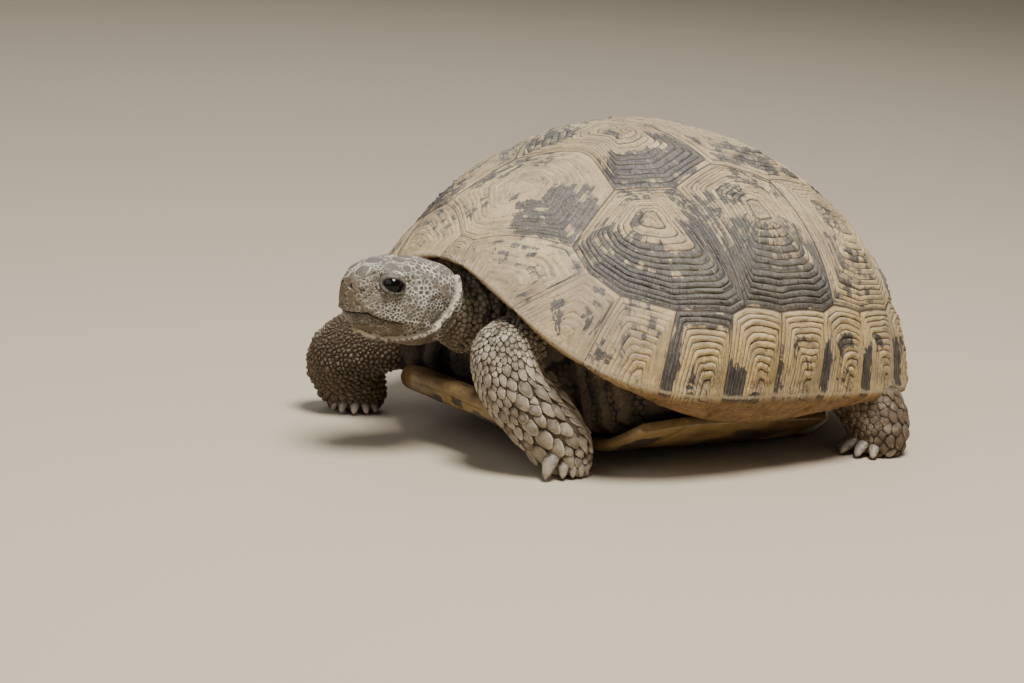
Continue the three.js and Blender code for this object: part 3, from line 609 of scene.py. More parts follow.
for number, (front, side) in enumerate(VERTEBRALS, 1):
    centre = (0, sum(y for _, y in set(front + side)) / len(set(front + side)))
    left = list(reversed(front)) + side[1:] if front[0] == side[0] else side
    ringed_plate(f"vertebral_{number}", closed_outline(left), centre, 12, 144, carapace_at,
                 VERTEBRAL_SMUDGES[number - 1], seed=number, bold=0.5 if number == 1 else 0.85,
                 materials=[carapace_horn])

COSTALS = [
    ([C1_M1] + COSTAL_LINE[1:5] + [C12_M5], [C12, V12]),
    ([C12_M5] + COSTAL_LINE[5:7] + [C23_M7], [C23, V23, C12]),
    ([C23_M7] + COSTAL_LINE[7:9] + [C34_M9], [C34, V34, C23]),
    ([C34_M9] + COSTAL_LINE[9:11] + [V5_M11], [V45, C34]),
]
COSTAL_SMUDGES = [
    [(5, 150, 0.66, 1, 1.1), (5, 150, 0.4, 0.7, 0.72), (10, 80, 0.25, 0.5, 0.5),
     (285, 375, 0.08, 0.24, 0.85),
     (150, 215, 0.65, 1, 0.6), (215, 300, 0.5, 1, 0.45), (335, 372, 0.35, 1, 0.6)],
    [(30, 150, 0.6, 1, 1.05), (15, 165, 0.3, 0.65, 0.6), (40, 140, 0.15, 0.35, 0.4),
     (280, 350, 0.2, 0.6, 0.55), (330, 390, 0.6, 1, 0.5),
     (200, 280, 0.5, 1, 0.45)],
    [(300, 420, 0.2, 0.5, 0.5), (40, 140, 0.3, 0.7, 0.45), (60, 120, 0.7, 1, 0.4), (200, 260, 0.5, 1, 0.4)],
    [(330, 420, 0.25, 0.6, 0.6), (60, 130, 0.5, 0.9, 0.55), (230, 300, 0.5, 1, 0.45)],
]
TOP_SPLITS = {1: C1_M1, 5: C12_M5, 7: C23_M7, 9: C34_M9, 11: V5_M11}
MARGINAL_SMUDGES = [
    [(200, 320, 0.3, 1, 0.3)],
    [(285, 315, 0.15, 0.85, 0.6), (225, 260, 0.4, 0.95, 0.45)],
    [(250, 330, 0.5, 1, 0.3), (325, 375, 0.6, 1, 0.45)],
    [(240, 320, 0.78, 1, 0.95), (320, 388, 0.74, 1, 1.0), (320, 380, 0.3, 0.46, 0.6),
     (20, 60, 0.5, 0.9, 0.8)],
    [(330, 380, 0.5, 1, 1.0), (5, 85, 0.08, 1, 1.1)],
    [(280, 320, 0.5, 0.7, 0.45), (320, 380, 0.85, 1, 0.5), (260, 300, 0.2, 0.4, 0.4),
     (0, 60, 0.4, 0.8, 0.3)],
    [(318, 385, 0.78, 1, 1.0), (280, 315, 0.45, 0.65, 0.7), (300, 330, 0.2, 0.36, 0.6)],
    [(318, 385, 0.74, 1, 1.0), (285, 320, 0.5, 0.7, 0.7)],
    [(318, 390, 0.66, 1, 0.95), (280, 310, 0.4, 0.6, 0.6)],
    [(318, 390, 0.6, 1, 0.9)],
    [(318, 390, 0.55, 1, 0.9)],
]
MARGINAL_BOLD = [0.4, 0.4, 0.65] + 8 * [1.0]
LIP_END = 1 + LIP_SPAN


for side, sign in (("left", 1), ("right", -1)):
    for number, (outer, inner) in enumerate(COSTALS, 1):
        centre = np.mean(inner, 0) * (1 - AREOLA_OUT) + np.mean(outer, 0) * AREOLA_OUT
        ringed_plate(f"costal_{side}_{number}", [(sign * x, y) for x, y in outer + inner],
                     (sign * centre[0], centre[1]),
                     13, 152, carapace_at,
                     [(a, b, *rest) if sign > 0 else (180 - b, 180 - a, *rest)
                      for a, b, *rest in COSTAL_SMUDGES[number - 1]], sign * 90,
                     seed=10 + number + 50 * (sign < 0), materials=[carapace_horn])
    for number in range(1, len(RIM_SEAMS)):
        first, last = RIM_SEAMS[number - 1], RIM_SEAMS[number]
        tops = [COSTAL_LINE[number - 1], COSTAL_LINE[number]]
        if number in TOP_SPLITS:
            tops.insert(1, TOP_SPLITS[number])
        middle = (first + last) / 2
        corners = tops + [rim_point(last, 1), rim_point(last, LIP_END), rim_point(middle, LIP_END),
                          rim_point(first, LIP_END), rim_point(first, 1)]
        centre = rim_point(first + (last - first) * 0.7, 0.975)
        smudges = MARGINAL_SMUDGES[number - 1]
        if sign < 0:
            smudges = [(180 - b, 180 - a, *rest) for a, b, *rest in smudges]
        ringed_plate(f"marginal_{side}_{number}", [(sign * x, y) for x, y in corners],
                     (sign * centre[0], centre[1]), 10, 104, carapace_at, smudges, sign * middle,
                     seed=20 + number + 50 * (sign < 0), swell=0.35, areola=0.16, even=0.9,
                     bold=MARGINAL_BOLD[number - 1],
                     materials=[carapace_horn])

for name, first, last, tops, rings in (
        ("nuchal", -RIM_SEAMS[0], RIM_SEAMS[0], [mirrored(COSTAL_LINE[0]), COSTAL_LINE[0]], 6),
        ("supracaudal", RIM_SEAMS[11], 360 - RIM_SEAMS[11],
         [COSTAL_LINE[11], mirrored(COSTAL_LINE[11])], 9)):
    headings = [last + (first - last) * k / 4 for k in range(5)]
    corners = tops + [rim_point(last, 1)] + [rim_point(heading, LIP_END) for heading in headings] + [
        rim_point(first, 1)]
    ringed_plate(name, corners, rim_point((first + last) / 2, 0.95), rings, 96, carapace_at,
                 [(300, 420, 0.5, 0.8, 0.4)], (first + last) / 2, seed=45 + rings, swell=0.2,
                 materials=[carapace_horn])

# ------------------------------------------------------------------ scutes of the plastron
# The belly is closed by six pairs of horn plates, worn smoother than the dome by the ground, brown
# and olive-yellow with a dark glossy blotch on each. The front ones turn up into a thick lip.

PLASTRON = {"base": -1.2, "edge": 54.4, "flat": 36.0, "bridge_rise": 11.2, "bridge_curve": 1.25,
            "lip_start": -46.0, "lip_reach": 21.0, "lip_rise": 6.4, "lip_thick": 5.0,
            "tail_start": 44.0, "tail_reach": 24.0, "tail_rise": 4.0, "end_curve": 1.5}
PLATE = 3.0
PLASTRON_PLATES = {
    "gular": ([(0, -67.5), (17, -67), (26, -63.5), (0, -57)], (8, -63.5)),
    "humeral": ([(0, -57), (26, -63.5), (34, -53), (34.5, -39), (0, -37)], (24, -50)),
    "pectoral": ([(0, -37), (34.5, -39), (51.5, -37.5), (54.4, -24), (0, -25)], (34, -31)),
    "abdominal": ([(0, -25), (54.4, -24), (54.4, 0), (53.4, 33), (36, 36), (0, 22)], (36, 8)),
    "femoral": ([(0, 22), (36, 36), (36.5, 46), (32, 56), (0, 45)], (22, 40)),
    "anal": ([(0, 45), (32, 56), (24, 64), (11, 68), (0, 60)], (14, 58)),
}


def plastron_height(x, y):
    p = PLASTRON
    bridge = np.clip((abs(x) - p["flat"]) / (p["edge"] - p["flat"]), 0,
                     1) ** p["bridge_curve"] * p["bridge_rise"]
    lip = np.clip((p["lip_start"] - y) / p["lip_reach"], 0, 1) ** p["end_curve"] * p["lip_rise"]
    tail = np.clip((y - p["tail_start"]) / p["tail_reach"], 0, 1) ** p["end_curve"] * p["tail_rise"]
    return p["base"] + bridge + lip + tail


def plastron_face(x, y):
    return np.stack([x, y, plastron_height(x, y)], -1)


LIP_EDGE = [(-1, -67.5), (17, -67), (26, -63.5), (34, -53), (34.5, -39), (51.5, -37.5)]
TAIL_EDGE = [(53.4, 33), (36, 36), (36.5, 46), (32, 56), (24, 64), (11, 68), (-1, 59)]
EDGE_ROUND = 0.92                              # the free edges' rounding, as a share of half the thickness


def near_line(points, line):
    """How far each point is from a bent line, and on which side of it (+ to its left as it runs)."""
    best = np.full(len(points), 1e9)
    above = np.zeros(len(points))
    for (x1, y1), (x2, y2) in zip(line, line[1:]):
        way = np.array([x2 - x1, y2 - y1])
        from_start = points - (x1, y1)
        t = np.clip(from_start @ way / (way @ way), 0, 1)
        gap = from_start - t[:, None] * way
        far = np.hypot(*gap.T)
        closer = far < best
        best = np.where(closer, far, best)
        above = np.where(closer, np.sign(way[0] * from_start[:, 1] - way[1] * from_start[:, 0])
                         * np.sign(way[0]),
                         above)
    return best, above


def plastron_at(x, y, depth):
    thickness = lip_depth(x, y)
    flat = np.stack([abs(x), y], -1)
    edge_far = np.minimum(near_line(flat, LIP_EDGE)[0], near_line(flat, TAIL_EDGE)[0])
    half = thickness / 2 * EDGE_ROUND
    inwards = np.clip(1 - edge_far / half, 0, 1)
    spare = half * (1 - np.sqrt(1 - inwards ** 2))
    deep = depth * (1 - 2 * spare / thickness) + spare
    return plastron_face(x, y) + facing(plastron_face, x, y, 0.3) * deep[..., None]


def lip_depth(x, y):
    reached = np.clip((PLASTRON["lip_start"] - y) / PLASTRON["lip_reach"], 0, 1)
    return PLATE + PLASTRON["lip_thick"] * reached


plastron_horn = new_material("plastron_horn")
tree = plastron_horn.node_tree
place = object_place(tree)
belly_ring = speckle(tree, shader(tree, "Mapping", {"Vector": attribute(tree, "growth", "Vector"),
                                                    "Scale": (2.0, 0.8, 0.8)}).outputs[0], 1.0, 4.0, 0.5)
belly_broad = speckle(tree, place, 55.0, 4.0, 0.6)
belly_grain = speckle(tree, place, 600.0, 5.0, 0.6)
belly = mixed(tree, ramp(tree, belly_broad, 0.35, 0.65), (0.075, 0.04, 0.013, 1), (0.27, 0.17, 0.06, 1))
belly = mixed(tree, math_of(tree, "MULTIPLY", ramp(tree, belly_ring, 0.45, 0.7), 0.4), belly,
              (0.08, 0.045, 0.018, 1))
blotch = ramp(tree, math_of(tree, "ADD", attribute(tree, "pigment"),
                            math_of(tree, "MULTIPLY",
                                    math_of(tree, "SUBTRACT", belly_broad, 0.5), 1.8)), 0.3, 0.55)
belly = mixed(tree, blotch, belly, (0.018, 0.013, 0.009, 1))
# Painted shade: the grooves between the plastron's low ridges are a little darker.
belly_groove_shade = math_of(tree, "SUBTRACT", 1.0, ramp(tree, attribute(tree, "ridge"), 0.0, 0.5))
belly = mixed(tree, math_of(tree, "MULTIPLY", belly_groove_shade, 0.2), belly, (0.04, 0.025, 0.012, 1))
belly_dust = use(tree, dust, {"Colour": belly, "Roughness": math_of(tree, "ADD", 0.22, math_of(
    tree, "MULTIPLY", belly_grain, 0.3)), "Place": place, "Amount": 0.22})
surface_of(plastron_horn, belly_dust["Colour"], belly_dust["Roughness"], math_of(
    tree, "ADD", belly_ring, math_of(tree, "MULTIPLY", belly_grain, 0.4)), 0.3, 0.0002)

for side, sign in (("left", 1), ("right", -1)):
    for number, (name, (corners, centre)) in enumerate(PLASTRON_PLATES.items()):
        smudges = [(0, 360, 0.1, 0.42, 0.55), (60, 150, 0.4, 0.75, 0.6), (300, 350, 0.5, 0.9, 0.45)]
        if sign < 0:
            smudges = [(180 - b, 180 - a, *rest) for a, b, *rest in smudges]
        ringed_plate(f"{name}_{side}", [(sign * x, y) for x, y in corners], (sign * centre[0], centre[1]),
                     8, 96, plastron_at, smudges, seed=60 + number + 50 * (sign < 0), ridge=0.08,
                     swell=0.12, thick=lip_depth, materials=[plastron_horn])

# ------------------------------------------------------------------ skin
# One dry, loose, folded hide runs from the snout over the neck and shoulders, down every leg and
# out along the tail. It is drawn out as lofts, melted into one, then folded and pinched.

COAT = 0.55                                    # mm that the scales add on top of the skin
VOXEL = 1.1
HEAD = [(1, -65.5, 45, 8.5, 7.8, 12), (0.5, -71, 45.4, 11, 9.5, 14.2), (-0.1, -79, 45.8, 11.4, 11, 14.6),
        (-0.9, -87, 46.4, 10.4, 11, 13.4), (-1.7, -95, 46.8, 8.6, 10, 11.6),
        (-2.3, -101.6, 47, 6.4, 8.6, 9.4)]
NECK = [(0, -34, 38, 15, 13, 13), (0, -48, 39, 15, 12, 13), (0.3, -60, 41.5, 12.5, 10, 14),
        (0.6, -71, 43.5, 9.8, 9, 14)]
TAIL = [(0, 56, 15, 5.4, 5, 5), (1, 67, 13.4, 4.6, 4.2, 4.2), (4, 76, 11.4, 4, 3.6, 3.6),
        (8, 82, 9.4, 3.2, 3, 3), (11, 86, 8, 2.2, 2, 2)]
ACROSS_BODY, FORE_FACE, HIND_FACE = (1, 0, 0), (0.665, 0.746, 0), (0, 1, 0)
LIMBS = {
    "fore_leg_left": (FORE_FACE, [
        (20, -34, 33, 9.5, 9), (21, -52, 34.5, 9.5, 8.5), (25.5, -65.5, 33.5, 10, 8.8),
                                  (29.5, -66, 25.5, 9.8, 8.4),
        (33.8, -59.5, 16.5, 9.8, 8.4), (36.5, -52.5, 8.5, 9.8, 8.6), (37.5, -49, -3, 9.2, 8.4)]),
    "fore_leg_right": (FORE_FACE, [
        (-20, -34, 29, 9.5, 9), (-31, -52, 26.2, 10.5, 9.8), (-41.5, -65.5, 21.8, 10.8, 9.2),
                                   (-46, -68, 16.4, 11, 8.8),
        (-48, -64, 10.4, 11, 8.8), (-49, -60, 4.5, 10.4, 8.8), (-49, -58.5, -3, 9.4, 8.4)]),
    "hind_leg_left": (HIND_FACE, [
        (24, 34, 27, 11, 11), (40, 41, 26, 11, 10.5), (51, 46, 20, 10.5, 10.5), (56.5, 49, 12, 10, 10),
        (58.5, 50, 5, 9.8, 9.8), (58.5, 50, -3, 9, 9)]),
    "hind_leg_right": (HIND_FACE, [
        (-24, 38, 27, 11, 11), (-37, 48, 25, 11, 10.5), (-46, 56, 19, 10.5, 10.5), (-51, 61, 12, 10, 10),
        (-52.5, 62.5, 5, 9.8, 9.8), (-52.5, 62.5, -3, 9, 9)]),
}


class Limb:
    """A bent body part: a smooth centre line and the size of the section along it, in body millimetres."""

    def __init__(self, stations, across, blunt=3.0, square=2.0):
        full = np.array([station if len(station) == 6 else station + (station[4],)
                         for station in stations], float)
        self.points, self.sizes = full[:, :3], full[:, 3:]
        self.across, self.blunt, self.square = np.array(across, float), blunt, square

    def centre(self, t):
        last = len(self.points) - 1
        k = min(int(t * last), last - 1)
        f = t * last - k
        p1, p2 = self.points[k], self.points[k + 1]
        p0 = self.points[k - 1] if k else 2 * p1 - p2
        p3 = self.points[k + 2] if k + 2 <= last else 2 * p2 - p1
        a, b, c = (max(np.linalg.norm(q - p), 1e-6) ** 0.5 for p, q in ((p0, p1), (p1, p2), (p2, p3)))
        start = ((p1 - p0) / a - (p2 - p0) / (a + b) + (p2 - p1) / b) * b
        end = ((p2 - p1) / b - (p3 - p1) / (b + c) + (p3 - p2) / c) * b
        return p1 + start * f + (3 * (p2 - p1) - 2 * start - end) * f * f + (2 * (p1 - p2)
                                                                             + start + end) * f ** 3

    def frame_at(self, t):
        low, high = max(t - 1e-3, 0), min(t + 1e-3, 1)
        tangent = self.centre(high) - self.centre(low)
        tangent /= np.linalg.norm(tangent)
        across = self.across - tangent * (self.across @ tangent)
        across /= np.linalg.norm(across)
        last = len(self.sizes) - 1
        k = min(int(t * last), last - 1)
        f = t * last - k
        size = self.sizes[k] + (self.sizes[k + 1] - self.sizes[k]) * f * f * (3 - 2 * f)
        return self.centre(t), tangent, across, np.cross(tangent, across), size

    def net(self, around, along, spare):
        ball = bmesh.new()
        bmesh.ops.create_uvsphere(ball, u_segments=around, v_segments=along, radius=1)
        frames = {}
        for vert in ball.verts:
            x, y, z = vert.co
            t = round(min(max((1 - z) / 2, 0), 1), 6)
            if t not in frames:
                frames[t] = self.frame_at(t)
            centre, tangent, across, over, (wide, high, low) = frames[t]
            turn = math.atan2(y, x)
            end = 0.0 if math.hypot(x, y) < 1e-5 else (1 - abs(2 * t - 1) ** self.blunt) ** (1 / self.blunt)
            cosine, sine = (math.copysign(abs(v) ** (2 / self.square), v)
                            for v in (math.cos(turn), math.sin(turn)))
            tall = (high if sine > 0 else low) + spare
            spot = (centre + tangent * spare * (2 * t - 1) + across * cosine * end * (wide + spare)
                    + over * sine * end * tall)
            vert.co = to_row @ Vector(spot)
        return ball


head_part = Limb(HEAD, ACROSS_BODY, blunt=3.6, square=2.4)
neck_part = Limb(NECK, ACROSS_BODY)
tail_part = Limb(TAIL, ACROSS_BODY)
leg_parts = {name: Limb(stations, face) for name, (face, stations) in LIMBS.items()}
armpit_parts = [Limb(stations, FORE_FACE) for stations in (
    [(21, -38, 24, 8, 8), (24.5, -49, 25, 8, 8), (28, -57, 26, 6, 7)],
    [(-21, -38, 22, 8, 8), (-27, -49, 21, 8, 8), (-34, -57, 19, 6, 7)])]

TRUNK_OUT = 0.74
TRUNK_WAIST = 0.88
TRUNK_ROWS = 30
TRUNK_AROUND = 48


def trunk_spot(row, column):
    heading = 2 * math.pi * column / TRUNK_AROUND
    share = row / TRUNK_ROWS
    widest, belly_starts = 0.6, 0.78
    depth = np.full_like(heading, PLATE + 1.3)
    x, y = np.sin(heading), -np.cos(heading)
    top = carapace_at(x * TRUNK_OUT * np.minimum(share / widest, 1), y * TRUNK_OUT
                      * np.minimum(share / widest, 1),
                      depth)
    sunk = np.clip((share - widest) / (belly_starts - widest), 0, 1)
    inwards = np.where(share < belly_starts, 1 - (1 - TRUNK_WAIST) * sunk,
                       TRUNK_WAIST * (1 - share) / (1 - belly_starts))
    below = top * inwards[:, None]
    ground = plastron_height(below[:, 0], below[:, 1]) + lip_depth(below[:, 0], below[:, 1]) + 1.6
    below[:, 2] = top[:, 2] * (1 - sunk) + ground * sunk
    return np.where((share <= widest)[:, None], top, below)


body_net = polar_net(TRUNK_ROWS, TRUNK_AROUND, trunk_spot)
for part in (head_part, neck_part, tail_part, *armpit_parts, *leg_parts.values()):
    piece_net = part.net(40, 48, -COAT)
    if part in leg_parts.values():
        cut = bmesh.ops.bisect_plane(piece_net, geom=piece_net.verts[:] + piece_net.edges[:]
                                     + piece_net.faces[:],
                                     plane_co=(0, 0, 0.0001), plane_no=(0, 0, -1), clear_outer=True)
        bmesh.ops.holes_fill(piece_net, edges=[edge for edge in cut["geom_cut"]
                                               if isinstance(edge, bmesh.types.BMEdge)], sides=0)
    part_mesh = bpy.data.meshes.new("part")
    piece_net.to_mesh(part_mesh)
    piece_net.free()
    body_net.from_mesh(part_mesh)
    bpy.data.meshes.remove(part_mesh)


def melted(net, voxel):
    """Joins overlapping closed shapes into one even skin."""
    mesh = bpy.data.meshes.new("melting")
    net.to_mesh(mesh)
    net.free()
    holder = bpy.data.objects.new("melting", mesh)
    bpy.context.scene.collection.objects.link(holder)
    remesh = holder.modifiers.new("even", "REMESH")
    remesh.mode = "VOXEL"
    remesh.voxel_size = voxel * MM
    done = bpy.data.meshes.new_from_object(holder.evaluated_get(bpy.context.evaluated_depsgraph_get()))
    bpy.data.objects.remove(holder)
    bpy.data.meshes.remove(mesh)
    net = bmesh.new()
    net.from_mesh(done)
    bpy.data.meshes.remove(done)
    return net


skin_net = melted(body_net, VOXEL)
for _ in range(6):
    bmesh.ops.smooth_vert(skin_net, verts=skin_net.verts[:], factor=0.5, use_axis_x=True, use_axis_y=True,
                          use_axis_z=True)

# Head frame: forward, left and up, in millimetres from the nape.
HEAD_ORIGIN = np.array([1.0, -65.5, 46.2])
HEAD_YAW = math.atan2(3.3, 36.1)
head_axes = np.array([[-math.sin(HEAD_YAW), -math.cos(HEAD_YAW), 0],
                      [math.cos(HEAD_YAW), -math.sin(HEAD_YAW), 0],
                      [0, 0, 1]])
row_to_body = np.array(to_row.inverted())


def in_body(net_verts):
    return np.c_[np.array([vert.co for vert in net_verts]), np.ones(len(net_verts))] @ row_to_body.T[:, :3]


def in_head(points):
    return (points - HEAD_ORIGIN) @ head_axes.T


def refine(net, wanted):
    """Splits every face whose middle is wanted, to hold finer folds."""
    net.faces.ensure_lookup_table()
    middles = np.array([face.calc_center_median() for face in net.faces])
    body = np.c_[middles, np.ones(len(middles))] @ row_to_body.T[:, :3]
    chosen = np.nonzero(wanted(in_head(body), body))[0]
    edges = {edge for k in chosen for edge in net.faces[k].edges}
    bmesh.ops.subdivide_edges(net, edges=list(edges), cuts=1, use_grid_fill=True)


NOSTRILS = ((2.5, 3.6), (-1.3, 3.7))
EYE = {"forward": 24.7, "aside": 7.0, "up": 4.3, "radius": 3.5}
MOUTH_TIP, MOUTH_CORNER = (36.5, -3.8), (14, -8.1)    # forward and up from the middle of the nape
MOUTH_BOW = 1.3
BEAK_NOTCH = {"forward": 31.8, "width": 2.5, "rise": 1.0}
FOLD_PULLS = ((31.5, 1.5, -10), (24, 5.5, -15), (6, 15, -9), (2.5, 8, 7))   # chin, jaw, neck, temple
NAPE_PULLS = ((9, -11.5), (5, -8), (2, -1), (0.5, 5.5))


def curve(pulls, count):
    t = np.linspace(0, 1, count)[:, None]
    return bezier(*np.array(pulls, float), t)


def mouth_height(forward):
    back = np.clip((MOUTH_TIP[0] - forward) / (MOUTH_TIP[0] - MOUTH_CORNER[0]), 0, 1)
    notch = BEAK_NOTCH["rise"] * np.exp(-((forward - BEAK_NOTCH["forward"]) / BEAK_NOTCH["width"]) ** 2)
    return MOUTH_TIP[1] + (MOUTH_CORNER[1] - MOUTH_TIP[1]) * back ** MOUTH_BOW + notch


mouth_ahead = np.linspace(MOUTH_TIP[0], MOUTH_CORNER[0], 19)
MOUTH = np.stack([mouth_ahead, mouth_height(mouth_ahead)], -1).tolist()
NAPE_FOLD = curve(NAPE_PULLS, 7).tolist()
JAW_FOLD = []
EAR = (12.4, -2.9, 3.5)


def near_fold(points, line):
    """How far each (forward, aside, up) point is from a bent line, on either side of the head."""
    spots = np.c_[points[:, 0], abs(points[:, 1]), points[:, 2]]
    best = np.full(len(points), 1e9)
    for start, stop in zip(line, line[1:]):
        way = np.array(stop) - start
        from_start = spots - start
        t = np.clip(from_start @ way / (way @ way), 0, 1)
        best = np.minimum(best, np.linalg.norm(from_start - t[:, None] * way, axis=1))
    return best


def bell(distance, width):
    return np.exp(-(distance / width) ** 2)


def wants_fine_head(head, body):
    return (head[:, 0] > 0.5) & (body[:, 1] < -62)


def wants_fine_face(head, body):
    eye = np.minimum(*(np.linalg.norm(head - (EYE["forward"], side * EYE["aside"], EYE["up"]), axis=1)
                       for side in (1, -1)))
    mouth, _ = near_line(head[:, [0, 2]], MOUTH)
    nostril = np.minimum(*(np.hypot(head[:, 1] - aside, head[:, 2] - high) for aside, high in NOSTRILS))
    nostril = nostril + 100 * (head[:, 0] < 33)
    return (near_fold(head, JAW_FOLD) < 1.2) | (head[:, 0] > 10) & ((eye < 6.2)
            | ((mouth < 1.3) & (abs(head[:, 1]) > 0)) | (nostril < 1.6))


refine(skin_net, wants_fine_head)
bmesh.ops.smooth_vert(skin_net, verts=skin_net.verts[:], factor=0.5, use_axis_x=True, use_axis_y=True,
                      use_axis_z=True)
# the jaw fold: its curve is laid on the skin before the skin is refined along it
loose = in_body(skin_net.verts)
skin_net.verts.ensure_lookup_table()
head_tree = BVHTree.FromPolygons(loose.tolist(),
                                 [[vert.index for vert in face.verts] for face in skin_net.faces])
for spot in curve(FOLD_PULLS, 25):
    on_skin = head_tree.find_nearest(Vector(spot @ head_axes + HEAD_ORIGIN))[0]
    JAW_FOLD.append(in_head(np.array([on_skin]))[0].tolist())
refine(skin_net, wants_fine_face)

skin_net.verts.ensure_lookup_table()
skin_net.normal_update()
body = in_body(skin_net.verts)
head = in_head(body)
normal = np.array([vert.normal for vert in skin_net.verts])
on_head = 1 / (1 + np.exp(-(head[:, 0] - 1.0) / 0.6)) * (body[:, 1] < -60)


def rough(points, size, seed):
    """Smooth noise between -1 and 1, with lumps about size millimetres across."""
    shift = Vector((seed * 17.1, seed * 5.3, seed * 2.9))
    return np.array([noise.noise(Vector(point) / size + shift) for point in points])


side_view = head[:, [0, 2]]
flank = np.clip((abs(head[:, 1]) - 2.5) / 2.5, 0, 1)
lift = np.zeros(len(head))
# cheeks and temples swell, the way from eye to nostril is pinched, the throat sags
lift += 0.7 * bell(np.hypot(head[:, 0] - 15, head[:, 2] + 4), 6.0) * flank
lift -= 0.35 * bell(np.hypot(head[:, 0] - 31.5, head[:, 2] - 2.0), 2.6) * flank
lift += 0.5 * bell(np.hypot(head[:, 0] - 26.5, head[:, 2] - 9.0),
                   3.2) * np.clip(abs(head[:, 1]) / 5 - 0.4, 0, 1)
lift -= 0.45 * bell(head[:, 1], 2.2) * bell(head[:, 0] - 26, 7) * (head[:, 2] > 6)
mouth_gap, mouth_side = near_line(side_view, MOUTH)
front_taper = np.clip((head[:, 0] - 12.5) / 3, 0, 1)
lift -= 0.75 * bell(mouth_gap, 0.22) * front_taper
lift += 0.34 * (mouth_side > 0) * bell(mouth_gap - 0.8, 0.75) * front_taper
lift -= 0.3 * (mouth_side < 0) * bell(mouth_gap - 0.4, 1.2) * front_taper
ear_far = np.hypot((head[:, 0] - EAR[0]) / 1.0, (head[:, 2] - EAR[1]) / 1.15)
lift -= 0.5 * np.clip((EAR[2] - ear_far) / 0.8 + 0.5, 0, 1) * flank
lift += 0.32 * bell(ear_far - EAR[2] - 0.7, 0.6) * flank
jaw_far = near_fold(head, JAW_FOLD)
fold_flank = np.clip((abs(head[:, 1]) - 0.6) / 0.8, 0, 1)
nape_far, _ = near_line(side_view, NAPE_FOLD)
lift += (1.3 * bell(jaw_far, 0.5) - 0.4 * bell(jaw_far - 1.4, 0.6)) * fold_flank
lift += (0.8 * bell(nape_far, 0.6) - 0.5 * bell(nape_far - 1.5, 0.8)) * flank
lift += 0.14 * rough(body, 2.2, 1) + 0.06 * rough(body, 0.8, 2)
upper_band = (mouth_side > 0) * np.clip((np.interp(head[:, 0], (27, 31, 35), (0.1, 0.35, 0.9))
                                         - mouth_gap) / 0.4
                                        + 0.5, 0, 1)
lower_band = (mouth_side <= 0) * np.clip((np.interp(head[:, 0], (20, 25, 29, 34), (0.3, 1.1, 2.6, 4.6))
                                          - mouth_gap) / 0.4
                                         + 0.5, 0, 1)
beak = np.maximum(upper_band, lower_band) * np.clip((head[:, 0] - 21) / 2, 0, 1)
beak = np.maximum(beak, np.clip((head[:, 0] - 35.2) / 0.5, 0, 1) * np.clip((-1.2 - head[:, 2]) / 0.5, 0, 1)
                  * (head[:, 2] > -7))
lift += 0.12 * beak
lift *= on_head
body_lift = (1 - on_head) * (0.4 * rough(body, 5.0, 3) + 0.18 * rough(body, 1.6, 4))
# folds: rings round the neck, slack pleats where the legs leave the shell
neck_rings = np.sin(body[:, 1] * 2 * math.pi / 4.2 + 2.2 * rough(body, 9.0, 5))
lift += (1 - on_head) * 0.75 * neck_rings * bell(body[:, 1] + 58, 9) * bell(body[:, 0], 16)
pleats = np.sin(body[:, 0] * 2 * math.pi / 4.6 + 1.6 * rough(body, 8.0, 6))
lift += 0.7 * pleats * np.clip((-body[:, 1] - 20) / 12, 0, 1) * np.clip((body[:, 1] + 62) / 8, 0, 1) * (
    abs(body[:, 0]) > 15)
lift += body_lift
body = body + normal * lift[:, None]
head = in_head(body)

# nostrils: two small pits in the blunt front of the snout
nostrils = np.zeros(len(head))
for aside, high in NOSTRILS:
    pit = np.hypot(head[:, 1] - aside, head[:, 2] - high) + 100 * (head[:, 0] < 33)
    head[:, 0] -= 1.4 * bell(pit, 0.5) - 0.25 * bell(pit - 0.95, 0.35)
    nostrils = np.maximum(nostrils, bell(pit, 0.55))

# eyes: the skin is drawn over each ball as two lids, with an almond gap between them
LID = 0.5
SLANT = math.radians(14)
eye_gap = np.full(len(head), 9.0)
for side in (1, -1):
    ball = np.array([EYE["forward"], side * EYE["aside"], EYE["up"]])
    axis = np.array([0.33, side * 0.94, 0.1])
    axis /= np.linalg.norm(axis)
    along = np.cross((0, 0, 1), axis) * side
    along /= np.linalg.norm(along)
    over = np.cross(axis, along) * side
    over = over if over[2] > 0 else -over
    slant_cos, slant_sin = math.cos(SLANT), math.sin(SLANT)
    along, over = along * slant_cos - over * slant_sin, over * slant_cos + along * slant_sin
    away = head - ball
    far = np.linalg.norm(away, axis=1)
    facing_out = away @ axis
    angle = np.arccos(np.clip(facing_out / np.maximum(far, 1e-6), -1, 1))
    bearing = np.arctan2(away @ over, away @ along)
    wide, tall = math.radians(58), np.where(np.sin(bearing) > 0, math.radians(31), math.radians(28))
    gap = angle * np.sqrt((np.cos(bearing) / wide) ** 2 + (np.sin(bearing) / tall) ** 2)
    radius = EYE["radius"]
    steps = [(0.0, radius - 0.75), (0.9, radius - 0.7), (0.99, radius + 0.06), (1.06, radius + 0.34),
             (1.2, radius + LID), (1.42, radius + LID - 0.04), (1.5, radius + 0.2), (1.6, radius + 0.44),
             (2.0, radius + 0.66), (2.14, radius + 0.08), (2.3, radius + 0.6), (2.6, radius + 0.8)]
    lid_radius = np.interp(gap, *zip(*steps))
    fade = np.clip((2.75 - gap) / 0.5, 0, 1) * (facing_out > 0) * (far < 9)
    fade = fade * fade * (3 - 2 * fade)
    wanted_far = far * (1 - fade) + lid_radius * fade
    head = head + away / np.maximum(far, 1e-6)[:, None] * (wanted_far - far)[:, None]
    eye_gap = np.where((facing_out > 0) & (far < 8), np.minimum(eye_gap, gap), eye_gap)
body = head @ head_axes + HEAD_ORIGIN
